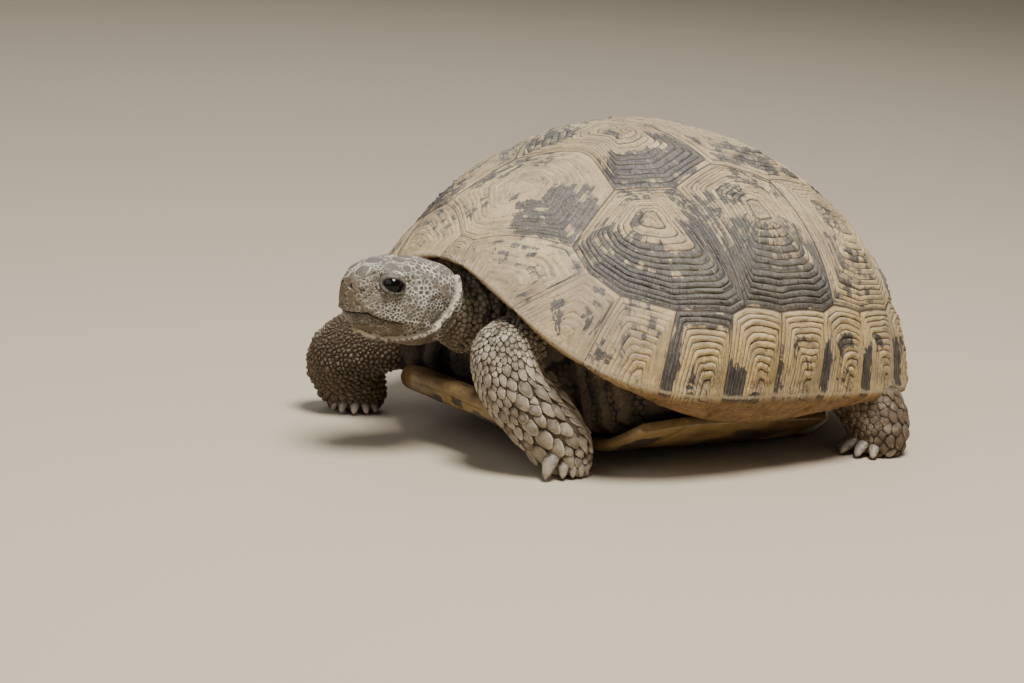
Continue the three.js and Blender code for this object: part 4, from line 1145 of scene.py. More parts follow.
body[:, 2] = np.maximum(body[:, 2], 0.06 - origin[2])
for vert, point in zip(skin_net.verts, body):
    vert.co = to_row @ Vector(point)
hollow_shade_layer = skin_net.verts.layers.float.new("hollow")
lid_layer = skin_net.verts.layers.float.new("lid")
face_layer = skin_net.verts.layers.float.new("face")
beak_layer = skin_net.verts.layers.float.new("beak")
pleat_layer = skin_net.verts.layers.float.new("pleat")
pleat = bell(jaw_far, 0.75) * fold_flank * on_head
# Painted shade: where the skin sinks in, in the nostrils, in the groove round each eye and at the lid
# margin.
hollow_shades = np.maximum(np.clip(0.5 - lift, 0, 1), np.maximum(nostrils, bell(eye_gap - 2.14, 0.15)))
hollow_shades = np.maximum(hollow_shades, bell(eye_gap - 1.0, 0.1))
facing = np.clip((head[:, 0] - 4) / 6, 0, 1) * (np.hypot(head[:, 1], head[:, 2]) < 17)
for vert, value, lid, horny, pale, facial in zip(skin_net.verts, hollow_shades,
                                                 np.clip((2.05 - eye_gap) / 0.1, 0, 1), beak,
                                                 pleat, facing):
    vert[pleat_layer] = pale
    vert[hollow_shade_layer] = value
    vert[lid_layer] = lid
    vert[beak_layer] = horny
    vert[face_layer] = facial
bmesh.ops.recalc_face_normals(skin_net, faces=skin_net.faces[:])

hide, hide_in, hide_out = effect("hide_markings", [("Place", "Vector", (0, 0, 0))],
                                 [("Colour", "Color"), ("Grain", "Float")])
hide_broad = speckle(hide, hide_in["Place"], 70.0, 4.0, 0.6)
hide_fine = speckle(hide, hide_in["Place"], 900.0, 5.0, 0.65)
hide_colour = mixed(hide, ramp(hide, hide_broad, 0.36, 0.64), (0.06, 0.045, 0.027, 1),
                    (0.15, 0.115, 0.072, 1))
hide_out("Colour", mixed(hide, math_of(hide, "MULTIPLY", ramp(hide, hide_fine, 0.45, 0.75),
                                       0.6), hide_colour,
                         (0.07, 0.055, 0.04, 1)))
hide_out("Grain", hide_fine)

skin = new_material("skin")
tree = skin.node_tree
place = object_place(tree)
skin_marks = use(tree, hide, {"Place": place})
granules = shader(tree, "TexVoronoi", {"Vector": place, "Scale": 1150.0},
                  feature="DISTANCE_TO_EDGE").outputs[0]
skin_colour = skin_marks["Colour"]
skin_colour = mixed(tree, math_of(tree, "MULTIPLY",
                                  math_of(tree, "SUBTRACT", 1.0, ramp(tree, granules, 0.0, 0.12)), 0.6),
                    skin_colour, (0.05, 0.038, 0.028, 1))
face_colour = mixed(tree, ramp(tree, skin_marks["Grain"], 0.35, 0.65), (0.13, 0.108, 0.08, 1),
                    (0.34, 0.29, 0.22, 1))
skin_colour = mixed(tree, math_of(tree, "MULTIPLY", attribute(tree, "face"), 0.85),
                    skin_colour, face_colour)
lid_colour = mixed(tree, ramp(tree, skin_marks["Grain"], 0.35, 0.65), (0.05, 0.043, 0.035, 1),
                   (0.17, 0.148, 0.118, 1))
skin_colour = mixed(tree, attribute(tree, "lid"), skin_colour, lid_colour)
skin_colour = mixed(tree, math_of(tree, "MULTIPLY", attribute(tree, "pleat"), 0.85), skin_colour,
                    (0.68, 0.59, 0.44, 1))
horny = ramp(tree, math_of(tree, "ADD", attribute(tree, "beak"),
                           swing_of(tree, skin_marks["Grain"], 0.9)), 0.35, 0.65)
beak_streak = speckle(tree, shader(tree, "Mapping",
                                   {"Vector": place, "Scale": (500.0, 500.0, 160.0)}).outputs[0],
                      1.0, 5.0, 0.6)
beak_colour = mixed(tree, ramp(tree, beak_streak, 0.3, 0.7), (0.025, 0.02, 0.014, 1),
                    (0.11, 0.088, 0.062, 1))
beak_speck = math_of(tree, "SUBTRACT", 1.0, ramp(tree, granules, 0.0, 0.1))
beak_colour = mixed(tree, math_of(tree, "MULTIPLY", beak_speck,
                                  ramp(tree, skin_marks["Grain"], 0.38, 0.55)),
                    beak_colour, (0.33, 0.285, 0.215, 1))
skin_colour = mixed(tree, horny, skin_colour, beak_colour)
# Painted shade: the hollow attribute darkens the skin towards near-black.
skin_colour = mixed(tree, ramp(tree, attribute(tree, "hollow"), 0.45, 0.95), skin_colour,
                    (0.012, 0.009, 0.007, 1))
skin_rough = math_of(tree, "ADD", 0.55, math_of(tree, "MULTIPLY", skin_marks["Grain"], 0.3))
skin_rough = math_of(tree, "SUBTRACT", skin_rough, math_of(tree, "MULTIPLY", horny, 0.25))
bead = math_of(tree, "MULTIPLY", ramp(tree, granules, 0.0, 0.2), math_of(
    tree, "SUBTRACT", math_of(tree, "SUBTRACT", 1.0, horny), attribute(tree, "lid"), clamp=True))
bead = math_of(tree, "ADD", bead, math_of(tree, "MULTIPLY", skin_marks["Grain"], 0.8))
surface_of(skin, skin_colour, skin_rough,
           math_of(tree, "ADD", bead, math_of(tree, "MULTIPLY", beak_streak, 0.4)),
           0.6, 0.0003)

skin_faces = [[vert.index for vert in face.verts] for face in skin_net.faces]
skin_straight = [face.normal[:] for face in skin_net.faces]
skin_tree = BVHTree.FromPolygons(body.tolist(), skin_faces)
finished(skin_net, "skin", [skin],
         ["trunk", "head", "neck", "tail", "fore_leg_left", "fore_leg_right", "hind_leg_left",
          "hind_leg_right"])

# ------------------------------------------------------------------ eyes
# A wet, almost black ball with a thin brown iris, sitting between the lids.

eye_gloss = new_material("eye")
tree = eye_gloss.node_tree
eye_front = ramp(tree, attribute(tree, "pupil"), 0.55, 0.62)
eye_flecks = speckle(tree, object_place(tree), 2500.0, 4.0, 0.6)
iris = mixed(tree, eye_flecks, (0.018, 0.009, 0.004, 1), (0.008, 0.004, 0.002, 1))
surface_of(eye_gloss, mixed(tree, eye_front, iris, (0.002, 0.0015, 0.001, 1)),
           math_of(tree, "MULTIPLY", eye_flecks, 0.12), ior=1.34)
for side, sign in (("left", 1), ("right", -1)):
    eye_net = bmesh.new()
    bmesh.ops.create_uvsphere(eye_net, u_segments=48, v_segments=32, radius=EYE["radius"])
    outward = np.array([0.33, sign * 0.94, 0.1])
    outward /= np.linalg.norm(outward)
    pupil_layer = eye_net.verts.layers.float.new("pupil")
    turn = Vector(outward).to_track_quat("Z", "Y").to_matrix()
    for vert in eye_net.verts:
        vert[pupil_layer] = max(vert.co.z / EYE["radius"], 0) ** 2
        cornea = max(vert.co.z / EYE["radius"] - 0.8, 0) * 1.2
        vert.co.z += cornea
        vert.co = turn @ vert.co
        spot = np.array(vert.co) + (EYE["forward"], sign * EYE["aside"], EYE["up"])
        vert.co = to_row @ Vector(spot @ head_axes + HEAD_ORIGIN)
    finished(eye_net, f"eyeball_{side}", [eye_gloss], [f"eye_{side}"])

# ------------------------------------------------------------------ claws
# Blunt, stout cones of dark grey-brown horn, five on each fore foot and four on each hind foot,
# grown over the toe bones and worn by walking. Each one curves down to the ground.

# per foot: its middle, reach, bearing of the first and last claw, how many, then the longest claw's
# length, half width, root height, place in the row, and how fast the others grow smaller
CLAW_SETS = {
    "fore_leg_left": ((36.8, -51), 7.4, 24, 116, 5, 4.4, 2.4, 7.6, 0.0, 1.9),
    "fore_leg_right": ((-49, -59.5), 7.4, 4, 92, 5, 3.4, 1.6, 4.4, 0.35, 0.5),
    "hind_leg_left": ((58.5, 49.5), 7.4, -35, 40, 4, 5.2, 2.0, 4.8, 0.35, 0.5),
    "hind_leg_right": ((-52.5, 62), 7.4, -40, 35, 4, 5.2, 2.0, 4.8, 0.35, 0.5),
}


def claw_plan(leg):
    """For each claw of a foot: its heading, reach, length, half width and root height."""
    _, reach, first, last, count, long, thick, root, longest, fall = CLAW_SETS[leg]
    for k in range(count):
        share = k / (count - 1)
        less = max(1 - fall * abs(share - longest), 0.32)
        yield (math.radians(first + (last - first) * share), reach - 2.6 * (1 - less), long * less,
               thick * (0.35 + 0.65 * less), root * (0.4 + 0.6 * less))


claw_horn = new_material("claw")
tree = claw_horn.node_tree
place = object_place(tree)
claw_length = attribute(tree, "along")
claw_streak = speckle(tree, shader(tree, "Mapping", {"Vector": attribute(tree, "grain_place", "Vector"),
                                                     "Scale": (4.0, 4.0, 0.8)}).outputs[0], 1.0, 4.0, 0.6)
claw_colour = mixed(tree, ramp(tree, claw_streak, 0.35, 0.7), (0.11, 0.092, 0.072, 1),
                    (0.3, 0.26, 0.205, 1))
claw_colour = mixed(tree, math_of(tree, "MULTIPLY", ramp(tree, claw_length, 0.62, 1.0), 0.6), claw_colour,
                    (0.38, 0.325, 0.24, 1))
surface_of(claw_horn, claw_colour, math_of(tree, "ADD", 0.3, math_of(tree, "MULTIPLY", claw_streak, 0.35)),
           claw_streak, 0.35, 0.0002)

for leg, (foot, *_) in CLAW_SETS.items():
    for k, (heading, reach, length, thick, root) in enumerate(claw_plan(leg)):
        ahead = np.array([math.sin(heading), -math.cos(heading)])
        stations = [(*(np.array(foot) + ahead * out), high, wide, tall, tall) for out, high, wide, tall in (
            (reach - 3.0, root + 0.3, thick * 0.9, thick * 0.75),
                    (reach - 0.6, root, thick * 1.02, thick * 0.85),
            (reach + 0.45 * length, root * 0.72, thick * 0.94, thick * 0.72),
            (reach + 0.85 * length, root * 0.36, thick * 0.66, thick * 0.5),
                    (reach + length, 0.8, 0.6, 0.45))]
        claw_part = Limb(stations, (math.cos(heading), math.sin(heading), 0), blunt=2.4)
        claw_net = claw_part.net(28, 32, 0.0)
        along_layer = claw_net.verts.layers.float.new("along")
        grain_layer = claw_net.verts.layers.float_vector.new("grain_place")
        points = in_body(claw_net.verts)
        outs = (points[:, :2] - foot) @ ahead
        for vert, point, out in zip(claw_net.verts, points, outs):
            vert[along_layer] = (out - reach) / length
            vert[grain_layer] = Vector((point[2] * 0.5 + 9 * k, point[0] * 0.5, out * 0.5))
            vert.co.z = max(vert.co.z, 0.0004)
        bmesh.ops.recalc_face_normals(claw_net, faces=claw_net.faces[:])
        finished(claw_net, f"claw_{leg}_{k + 1}", [claw_horn], ())

# ------------------------------------------------------------------ scales of the forelegs
# Horny scales clothe the legs like shingles: small and thin at the elbow, large and thick down the
# front of the forearm with free tips, pebbles on the hand. Each is a thickening of the skin itself.

SCALE_SIDES = 12
SCALE_PROFILE = ((0.0, 1.0), (0.5, 1.0), (0.8, 1.0), (1.0, 1.0), (0.97, 0.0))    # how far out, top or foot
BURIED = 0.7                                   # mm that a scale's foot lies under the skin
PATCH = 0.003                                  # width of a scale's patch on the unwrap
PARTS = {"head": head_part, "neck": neck_part, "tail": tail_part, **leg_parts}
UNWRAP_CELLS = 3

profile_net = bmesh.new()
profile_verts = [profile_net.verts.new((out, 0, top)) for out, top in SCALE_PROFILE]
profile_edges = [profile_net.edges.new(pair) for pair in zip(profile_verts, profile_verts[1:])]
bmesh.ops.spin(profile_net, geom=profile_verts + profile_edges, cent=(0, 0, 0), axis=(0, 0, 1),
               angle=2 * math.pi, steps=SCALE_SIDES, use_merge=True)
bmesh.ops.remove_doubles(profile_net, verts=profile_net.verts[:], dist=1e-4)
bmesh.ops.holes_fill(profile_net, edges=[edge for edge in profile_net.edges if edge.is_boundary], sides=0)
bmesh.ops.recalc_face_normals(profile_net, faces=profile_net.faces[:])
scale_template = bpy.data.meshes.new("one_scale")
profile_net.to_mesh(scale_template)
profile_net.free()
template = np.array([vert.co for vert in scale_template.vertices])
template_out = np.hypot(template[:, 0], template[:, 1])
template_turn = np.arctan2(template[:, 1], template[:, 0])
template_top = template[:, 2]

# scales may root anywhere on the skin: some chance spots on every face, with the part it belongs to
face_middles = np.array([body[face].mean(0) for face in skin_faces])
best_part = np.full(len(face_middles), -1)
best_gap = np.full(len(face_middles), 1e9)
part_t = np.zeros(len(face_middles))
part_turn = np.zeros(len(face_middles))
part_lie = np.zeros_like(face_middles)
SAMPLES = np.linspace(0.0, 1.0, 121)
for number, part in enumerate(PARTS.values()):
    frames = [part.frame_at(t) for t in SAMPLES]
    centres = np.array([f[0] for f in frames])
    sizes = np.array([f[4].mean() for f in frames])
    near = np.concatenate([np.linalg.norm(chunk[:, None] - centres, axis=2) / sizes
                           for chunk in np.array_split(face_middles, 60)])
    pick = near.argmin(1)
    gap = near[np.arange(len(pick)), pick]
    closer = gap < best_gap
    tangent, across, over = (np.array([f[k] for f in frames])[pick] for k in (1, 2, 3))
    away = face_middles - centres[pick]
    turn = np.arctan2((away * over).sum(1), (away * across).sum(1))
    best_part = np.where(closer, number, best_part)
    part_t = np.where(closer, SAMPLES[pick], part_t)
    part_turn = np.where(closer, turn, part_turn)
    part_lie = np.where(closer[:, None], tangent, part_lie)
    best_gap = np.minimum(best_gap, gap)
shell_tree = BVHTree.FromPolygons(*shell_shape)
covered = np.array([shell_tree.ray_cast(Vector(spot) + Vector(way) * 0.2, Vector(way), 3.2)[0] is not None
                    for spot, way in zip(face_middles.tolist(), skin_straight)])
luck = np.random.default_rng(7)
of_face = np.repeat(np.arange(len(face_middles)), 3)
corner_pick = luck.random(len(of_face))
corners = np.array([skin_faces[k][int(c * len(skin_faces[k]))] for k, c in zip(of_face, corner_pick)])
spots = face_middles[of_face] + (body[corners] - face_middles[of_face]) * (0.85
        * luck.random(len(of_face))[:, None])
straight, best_part, best_gap, part_t, part_turn, part_lie, covered = (values[of_face] for values in (
    np.array(skin_straight), best_part, best_gap, part_t, part_turn, part_lie, covered))
part_names = list(PARTS)
unwrapped = np.c_[(best_part % UNWRAP_CELLS + 0.08 + 0.84 * (part_turn / 2 / math.pi + 0.5)) / UNWRAP_CELLS,
                  (best_part // UNWRAP_CELLS + 0.08 + 0.84 * part_t) / UNWRAP_CELLS]
placed = []                                    # every root so far: spot and size


def of_part(*names):
    wanted = [part_names.index(name) for name in names]
    return np.isin(best_part, wanted) & (best_gap < 1.25) & ~covered


def scatter(wanted, size, seed, first=(), crowding=0.86):
    """Picks roots among the skin's faces, at least a scale apart. first holds roots that are given."""
    chance = random.Random(seed)
    choice = np.nonzero(wanted)[0].tolist()
    chance.shuffle(choice)
    choice = list(first) + choice
    cell = 3.0
    grid = {}
    for spot, radius in placed:
        grid.setdefault(tuple((spot // cell).astype(int)), []).append((*spot, radius))
    kept = []
    hand_set = len(first)
    for rank, k in enumerate(choice):
        x, y, z = spots[k]
        radius = size[k]
        i, j, l = int(x // cell), int(y // cell), int(z // cell)
        free = rank < hand_set
        if not free:
            free = all((x - px) ** 2 + (y - py) ** 2 + (z - pz) ** 2 > ((radius + pr) * crowding) ** 2
                       for di in (-1, 0, 1) for dj in (-1, 0, 1) for dl in (-1, 0, 1)
                       for px, py, pz, pr in grid.get((i + di, j + dj, l + dl), ()))
        if free:
            grid.setdefault((i, j, l), []).append((x, y, z, radius))
            kept.append(k)
    return np.array(kept)


def unit(rows):
    return rows / np.maximum(np.linalg.norm(rows, axis=-1, keepdims=True), 1e-9)


def grown_scales(name, roots, size, lie, material, seed, long=1.0, dome=0.16, tip=0.0,
                 overlap=0.0, keel=0.0,
                 pit=0.0, cone=0.0, groove=0.07, base=0.18, conform=1.0,
                 jitter=0.12, spread=1.3,
                 corners=9.0, mud_and_shade=0.0, sharp=0.0):
    """Grows one solid scale on every root and joins them. Sizes are mm or shares of a scale's radius,
    and a high corners keeps the outline polygonal."""
    dice = np.random.default_rng(seed)
    count = len(roots)
    radius = size[roots] * (1 + jitter * (dice.random(count) - 0.5))
    long, dome, tip, overlap, keel, pit, cone, base, sharp = (np.broadcast_to(value, count)[:,
            None] for value in (
        long, dome, tip, overlap, keel, pit, cone, base, sharp))
    spot, up = spots[roots], straight[roots]
    ahead = unit(lie - (lie * up).sum(1, keepdims=True) * up)
    aside = np.cross(up, ahead)
    placed.extend(zip(spot, radius))
    finder = kdtree.KDTree(len(placed))
    for k, (point, _) in enumerate(placed):
        finder.insert(point, k)
    finder.balance()
    near = np.array([[found[1] for found in finder.find_n(point, 14)] for point in spot])
    others = np.array([point for point, _ in placed])[near]
    weights = np.array([r for _, r in placed])[near]
    gap = others - spot[:, None]
    forward = (gap * ahead[:, None]).sum(2) / long
    sideways = (gap * aside[:, None]).sum(2)
    far = np.hypot(forward, sideways)
    turn = np.linspace(0, 2 * math.pi, SCALE_SIDES, endpoint=False)
    toward = np.cos(turn[None, None, :] - np.arctan2(sideways, forward)[:, :, None])
    border = (far * radius[:, None] / (radius[:, None] + weights))[:, :, None] / np.maximum(toward, 1e-3)
    border = np.where((far[:, :, None] < 1e-6) | (toward < 1e-3), 1e6, border)
    limit = spread * radius[:, None]
    outline = ((border ** -corners).sum(1) + limit ** -corners) ** (-1 / corners) - groove
    outline = np.maximum(outline, 0.25 * radius[:, None])
    column = np.rint(template_turn / (2 * math.pi) * SCALE_SIDES).astype(int) % SCALE_SIDES
    out = outline[:, column] * template_out
    cosine, sine = np.cos(template_turn), np.sin(template_turn)
    run = out * cosine * long * (1 + overlap * np.maximum(cosine, 0) ** 1.5)
    wide = out * sine * (1 - sharp * np.maximum(cosine, 0) ** 1.5)
    flat = spot[:, None] + run[..., None] * ahead[:, None] + wide[..., None] * aside[:, None]
    footing, lean = np.empty_like(flat), np.empty_like(flat)
    for k, row in enumerate(flat.tolist()):
        for v, point in enumerate(row):
            hit, way = skin_tree.find_nearest(point)[:2]
            footing[k, v] = hit
            lean[k, v] = way
    lean = unit(0.5 * lean + 0.5 * up[:, None])
    share = template_out[None]
    tall = base + dome * radius[:, None] * (1 - share ** 2.6)
    tall = tall + tip * radius[:, None] * (0.35 + 0.65 * share * cosine) * (share * cosine > -0.6)
    tall = tall + keel * radius[:, None] * np.exp(-(share * sine / 0.3) ** 2) * (1 - 0.6 * share)
    tall = tall - pit * radius[:, None] * np.exp(-(share / 0.5) ** 2) + cone * radius[:,
            None] * (1 - share) ** 1.1
    tall = np.where(template_top[None] > 0.5, np.maximum(tall, 0.05), -BURIED)
    stiff = np.where(template_top > 0.5, conform, 1.0)[None, :, None]
    places = footing * stiff + flat * (1 - stiff) + lean * tall[..., None]
    places = places @ np.array(to_row)[:3, :3].T + np.array(to_row.translation)
    places[..., 2] = np.maximum(places[..., 2], 0.0003)
    holder = bpy.data.objects.new("scales", scale_template)
    bpy.context.scene.collection.objects.link(holder)
    repeat = holder.modifiers.new("repeat", "ARRAY")
    repeat.count = count
    repeat.use_relative_offset = False
    mesh = bpy.data.meshes.new_from_object(holder.evaluated_get(bpy.context.evaluated_depsgraph_get()))
    bpy.data.objects.remove(holder)
    mesh.name = name
    mesh.vertices.foreach_set("co", places.reshape(-1))
    tone = np.repeat(dice.random(count), len(template))
    for label, values in (("tone", tone), ("rim", np.tile(template_out, count)),
                          ("ahead", np.tile(template_out * cosine, count)),
                          ("mud_and_shade", np.repeat(np.broadcast_to(mud_and_shade, count), len(template)))):
        mesh.attributes.new(label, "FLOAT", "POINT").data.foreach_set("value", values)
    sunk = np.tile(template_top, count)
    mesh.attributes.new("top", "FLOAT", "POINT").data.foreach_set("value", sunk)
    corner = np.empty(len(mesh.loops), int)
    mesh.loops.foreach_get("vertex_index", corner)
    patch = unwrapped[roots][:, None] + template[None, :, :2] * PATCH / 2
    mesh.uv_layers.new(name="OFBake").data.foreach_set("uv", patch.reshape(-1, 2)[corner].reshape(-1))
    mesh.shade_smooth()
    mesh.materials.append(material)
    piece = bpy.data.objects.new(name, mesh)
    bpy.context.scene.collection.objects.link(piece)
    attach(piece, "root")
    return piece


STAIN_COLOUR = (0.13, 0.088, 0.048, 1)
# Near-black for real dark specks and fine wrinkles, and for painted shade at scale roots, edges and walls.
DIRT_AND_SHADE_COLOUR = (0.022, 0.016, 0.011, 1)


def scale_material(name, low, high, rim, rim_share, centre, centre_share, gloss, mud_and_shade=(0.1, 0.062, 0.032, 1),
                   vein=DIRT_AND_SHADE_COLOUR, vein_share=0.25, root_shade=0.7, edge_shade=0.5,
                   wall_shade=1.0):
    """Horny scales: low and high are the two hide colours, rim and centre the colours of a scale's border
    and middle, mud_and_shade the colour of the earth that sticks to it, which on shaded legs also serves as
    painted shade, and vein the colour of its finest wrinkles. root_shade, edge_shade and wall_shade set how
    much painted shade falls at a scale's root, its outer edge and its sunken walls."""
    made = new_material(name)
    tree = made.node_tree
    place = object_place(tree)
    marks = use(tree, hide, {"Place": place})
    out = attribute(tree, "rim")
    mottle = speckle(tree, place, 2400.0, 5.0, 0.75)
    stain = speckle(tree, place, 260.0, 5.0, 0.65)
    bent = shader(tree, "TexNoise", {"Vector": place, "Scale": 900.0, "Detail": 2.0})
    bent_place = mixed(tree, 0.0009, place, bent.outputs["Color"], "ADD")
    cells = shader(tree, "TexVoronoi", {"Vector": bent_place, "Scale": 1700.0},
                   feature="DISTANCE_TO_EDGE").outputs[0]
    wrinkle = math_of(tree, "SUBTRACT", 1.0, ramp(tree, cells, 0.02, 0.16))
    colour = mixed(tree, 0.75, marks["Colour"], mixed(tree, attribute(tree, "tone"), low, high))
    patch = ramp(tree, speckle(tree, place, 420.0, 3.0, 0.5), 0.4, 0.6)
    colour = mixed(tree, math_of(tree, "MULTIPLY", patch, 0.45), colour, low)
    middle = math_of(tree, "SUBTRACT", 1.0, ramp(tree, out, 0.15, 0.62))
    colour = mixed(tree, math_of(tree, "MULTIPLY", middle, centre_share), colour, centre)
    patchy = math_of(tree, "MULTIPLY", rim_share,
                     math_of(tree, "ADD", 0.12, ramp(tree, stain, 0.6, 0.42)), clamp=True)
    colour = mixed(tree, math_of(tree, "MULTIPLY", ramp(tree, out, 0.68, 0.92), patchy), colour, rim)
    colour = mixed(tree, math_of(tree, "MULTIPLY", wrinkle, math_of(
        tree, "MULTIPLY", ramp(tree, mottle, 0.4, 0.6), vein_share)), colour, vein)
    # Mud, and on the far foreleg and the hind legs also painted shade: those legs are darkened with it for
    # the shade they lie in.
    mud_and_shade_share = math_of(tree, "MULTIPLY", attribute(tree, "mud_and_shade"),
                    math_of(tree, "ADD", 0.6, ramp(tree, stain, 0.38, 0.6)),
                    clamp=True)
    colour = mixed(tree, mud_and_shade_share, colour, mud_and_shade)
    colour = mixed(tree, math_of(tree, "MULTIPLY", ramp(tree, stain, 0.5, 0.68), 0.5), colour, STAIN_COLOUR)
    colour = mixed(tree, math_of(tree, "MULTIPLY", ramp(tree, mottle, 0.54, 0.7), 0.5), colour, DIRT_AND_SHADE_COLOUR)
    # Painted shadow: each scale darkens towards its root, as if shaded by the scale before it, and painted
    # shade darkens its outermost edge at the crevice.
    root_shadow = math_of(tree, "SUBTRACT", 1.0, ramp(tree, attribute(tree, "ahead"), -1.0, 0.0))
    shade = math_of(tree, "ADD", math_of(tree, "MULTIPLY", root_shadow, root_shade), math_of(
        tree, "MULTIPLY", ramp(tree, out, 0.93, 1.0), edge_shade), clamp=True)
    colour = mixed(tree, shade, colour, DIRT_AND_SHADE_COLOUR)
    # Painted shade: the sunken walls of each scale, in the gaps between scales, are darkened.
    wall = math_of(tree, "SUBTRACT", 1.0, ramp(tree, attribute(tree, "top"), 0.55, 0.98))
    colour = mixed(tree, math_of(tree, "MULTIPLY", wall, wall_shade), colour, DIRT_AND_SHADE_COLOUR)
    dusted = use(tree, dust, {"Colour": colour, "Roughness": math_of(tree, "ADD", gloss, math_of(
        tree, "MULTIPLY", mottle, 0.3)), "Place": place, "Amount": 0.15})
    relief = math_of(tree, "ADD", math_of(tree, "ADD", mottle, stain),
                     math_of(tree, "MULTIPLY", wrinkle, 0.7))
    surface_of(made, dusted["Colour"], dusted["Roughness"], relief, 0.6, 0.00014)
    return made


shingle_horn = scale_material("leg_scale_horn", (0.17, 0.133, 0.086, 1), (0.72, 0.62, 0.46, 1),
                              (0.78, 0.69, 0.54, 1), 0.5, (0.34, 0.32, 0.29, 1), 0.5, 0.4, root_shade=0.6)


def clear_of_claws(leg):
    """Where no claw comes out of the foot."""
    foot = CLAW_SETS[leg][0]
    clear = np.full(len(spots), True)
    for heading, reach, _, thick, root in claw_plan(leg):
        place = (foot[0] + math.sin(heading) * (reach + 0.4), foot[1] - math.cos(heading)
                 * (reach + 0.4), root - 0.6)
        clear &= np.linalg.norm(spots - place, axis=1) > thick * 0.95
    return clear


FORE_SIZE = ((0.0, 0.7), (0.3, 0.8), (0.42, 1.05), (0.55, 1.6), (0.68, 2.3), (0.8, 2.4),
             (0.87, 1.4), (1.0, 1.1))
FORE_FRONT = {"left": (0.62, -0.78, 0.08), "right": (-0.62, -0.78, 0.08)}
FORE_EDGE = {"left": (0.62, 0.72, 0.3), "right": (-0.8, 0.5, 0.3)}
for side, sign in (("left", 1), ("right", -1)):
    leg = f"fore_leg_{side}"
    bold = np.clip((straight @ np.array(FORE_FRONT[side]) + 0.35) / 0.75, 0, 1)
    bold = bold * bold * (3 - 2 * bold)
    fringe = np.clip((straight @ np.array(FORE_EDGE[side]) - 0.45) / 0.25, 0,
                     1) * np.clip((part_t - 0.42) / 0.08, 0, 1)
    fringe *= np.clip((0.86 - part_t) / 0.04, 0, 1)
    full = np.interp(part_t, *zip(*FORE_SIZE))
    knobs = 0.0 if sign > 0 else 1.0
    size = 0.8 + (full * (1 - 0.38 * knobs) * (0.6 + 0.65 * luck.random(len(spots))) - 0.8) * bold
    size = np.maximum(size, 1.15 * fringe)
    wanted = of_part(leg) & (spots[:, 2] > -origin[2] + 0.8) & (part_t > 0.22)
    wanted &= clear_of_claws(leg)
    roots = scatter(wanted, size, 11 + sign)
    t = part_t[roots]
    hand = np.clip((t - 0.84) / 0.06, 0, 1)
    arm = np.clip((t - 0.12) / 0.15, 0, 1) * (1 - hand)
    shingled = arm * np.maximum(bold[roots], fringe[roots]) * (1 - 0.7 * knobs)
    # On the right (far) foreleg the heavy mud, thickest on the faces that look down, is painted shade as
    # well as mud.
    grown_scales(f"scales_{leg}", roots, size, part_lie[roots], shingle_horn, 21 + sign,
                 long=1 + 0.2 * shingled + 0.5 * fringe[roots], dome=0.2 + 0.12 * hand + 0.3 * knobs * arm,
                 tip=0.06 + 0.34 * shingled, overlap=0.42 * shingled + 0.12 + 0.7 * fringe[roots],
                 keel=0.05 * shingled, cone=0.25 * knobs * arm, sharp=0.7 * fringe[roots],
                 base=0.12, conform=0.8, groove=0.05 + 0.06 * knobs, corners=6.0,
                 mud_and_shade=0.95 * knobs * np.clip(1.15 - 0.5 * straight[roots, 2], 0, 1) + 0.12)

# ------------------------------------------------------------------ scales of the hind legs and tail
# The hind legs are pillars with blunt pebbles, larger towards the heel, where a few stand out as
# spurs. The tail has small scales.

HIND_SIZE = ((0.0, 0.85), (0.3, 0.95), (0.5, 1.25), (0.7, 1.6), (0.85, 1.75), (1.0, 1.5))
for side, sign in (("left", 1), ("right", -1)):
    leg = f"hind_leg_{side}"
    rear = np.array([sign * 0.5, 0.8, -0.1])
    bold = np.clip((straight @ rear + 0.5) / 0.9, 0, 1)
    size = 0.85 + (np.interp(part_t, *zip(*HIND_SIZE)) - 0.85) * bold
    wanted = of_part(leg) & (spots[:, 2] > 0.8 - origin[2]) & (part_t > 0.2) & clear_of_claws(leg)
    roots = scatter(wanted, size, 31 + sign)
    low_leg = np.clip((part_t[roots] - 0.5) / 0.3, 0, 1)
    # The hind legs' dark mud is both mud and painted shade.
    grown_scales(f"scales_{leg}", roots, size, part_lie[roots], shingle_horn, 33 + sign, long=1.1,
                 dome=0.16 + 0.1 * low_leg, tip=0.06 + 0.14 * bold[roots], overlap=0.15 + 0.2 * bold[roots],
                 cone=0.25 * bold[roots] * low_leg, conform=0.85, mud_and_shade=0.75)

tail_size = np.interp(part_t, (0, 0.5, 1), (1.0, 0.85, 0.7))
tail_roots = scatter(of_part("tail"), tail_size, 41)
grown_scales("scales_tail", tail_roots, tail_size, part_lie[tail_roots], shingle_horn, 42,
             long=1.15, dome=0.2,
             tip=0.14, overlap=0.25)

# ------------------------------------------------------------------ scales of the head
# Small polygonal scales with pale raised rims and dark hollow spots net the cheeks and temples.
# A few large smooth shields cover the snout and brow, and beads edge the jaws and the eardrum.

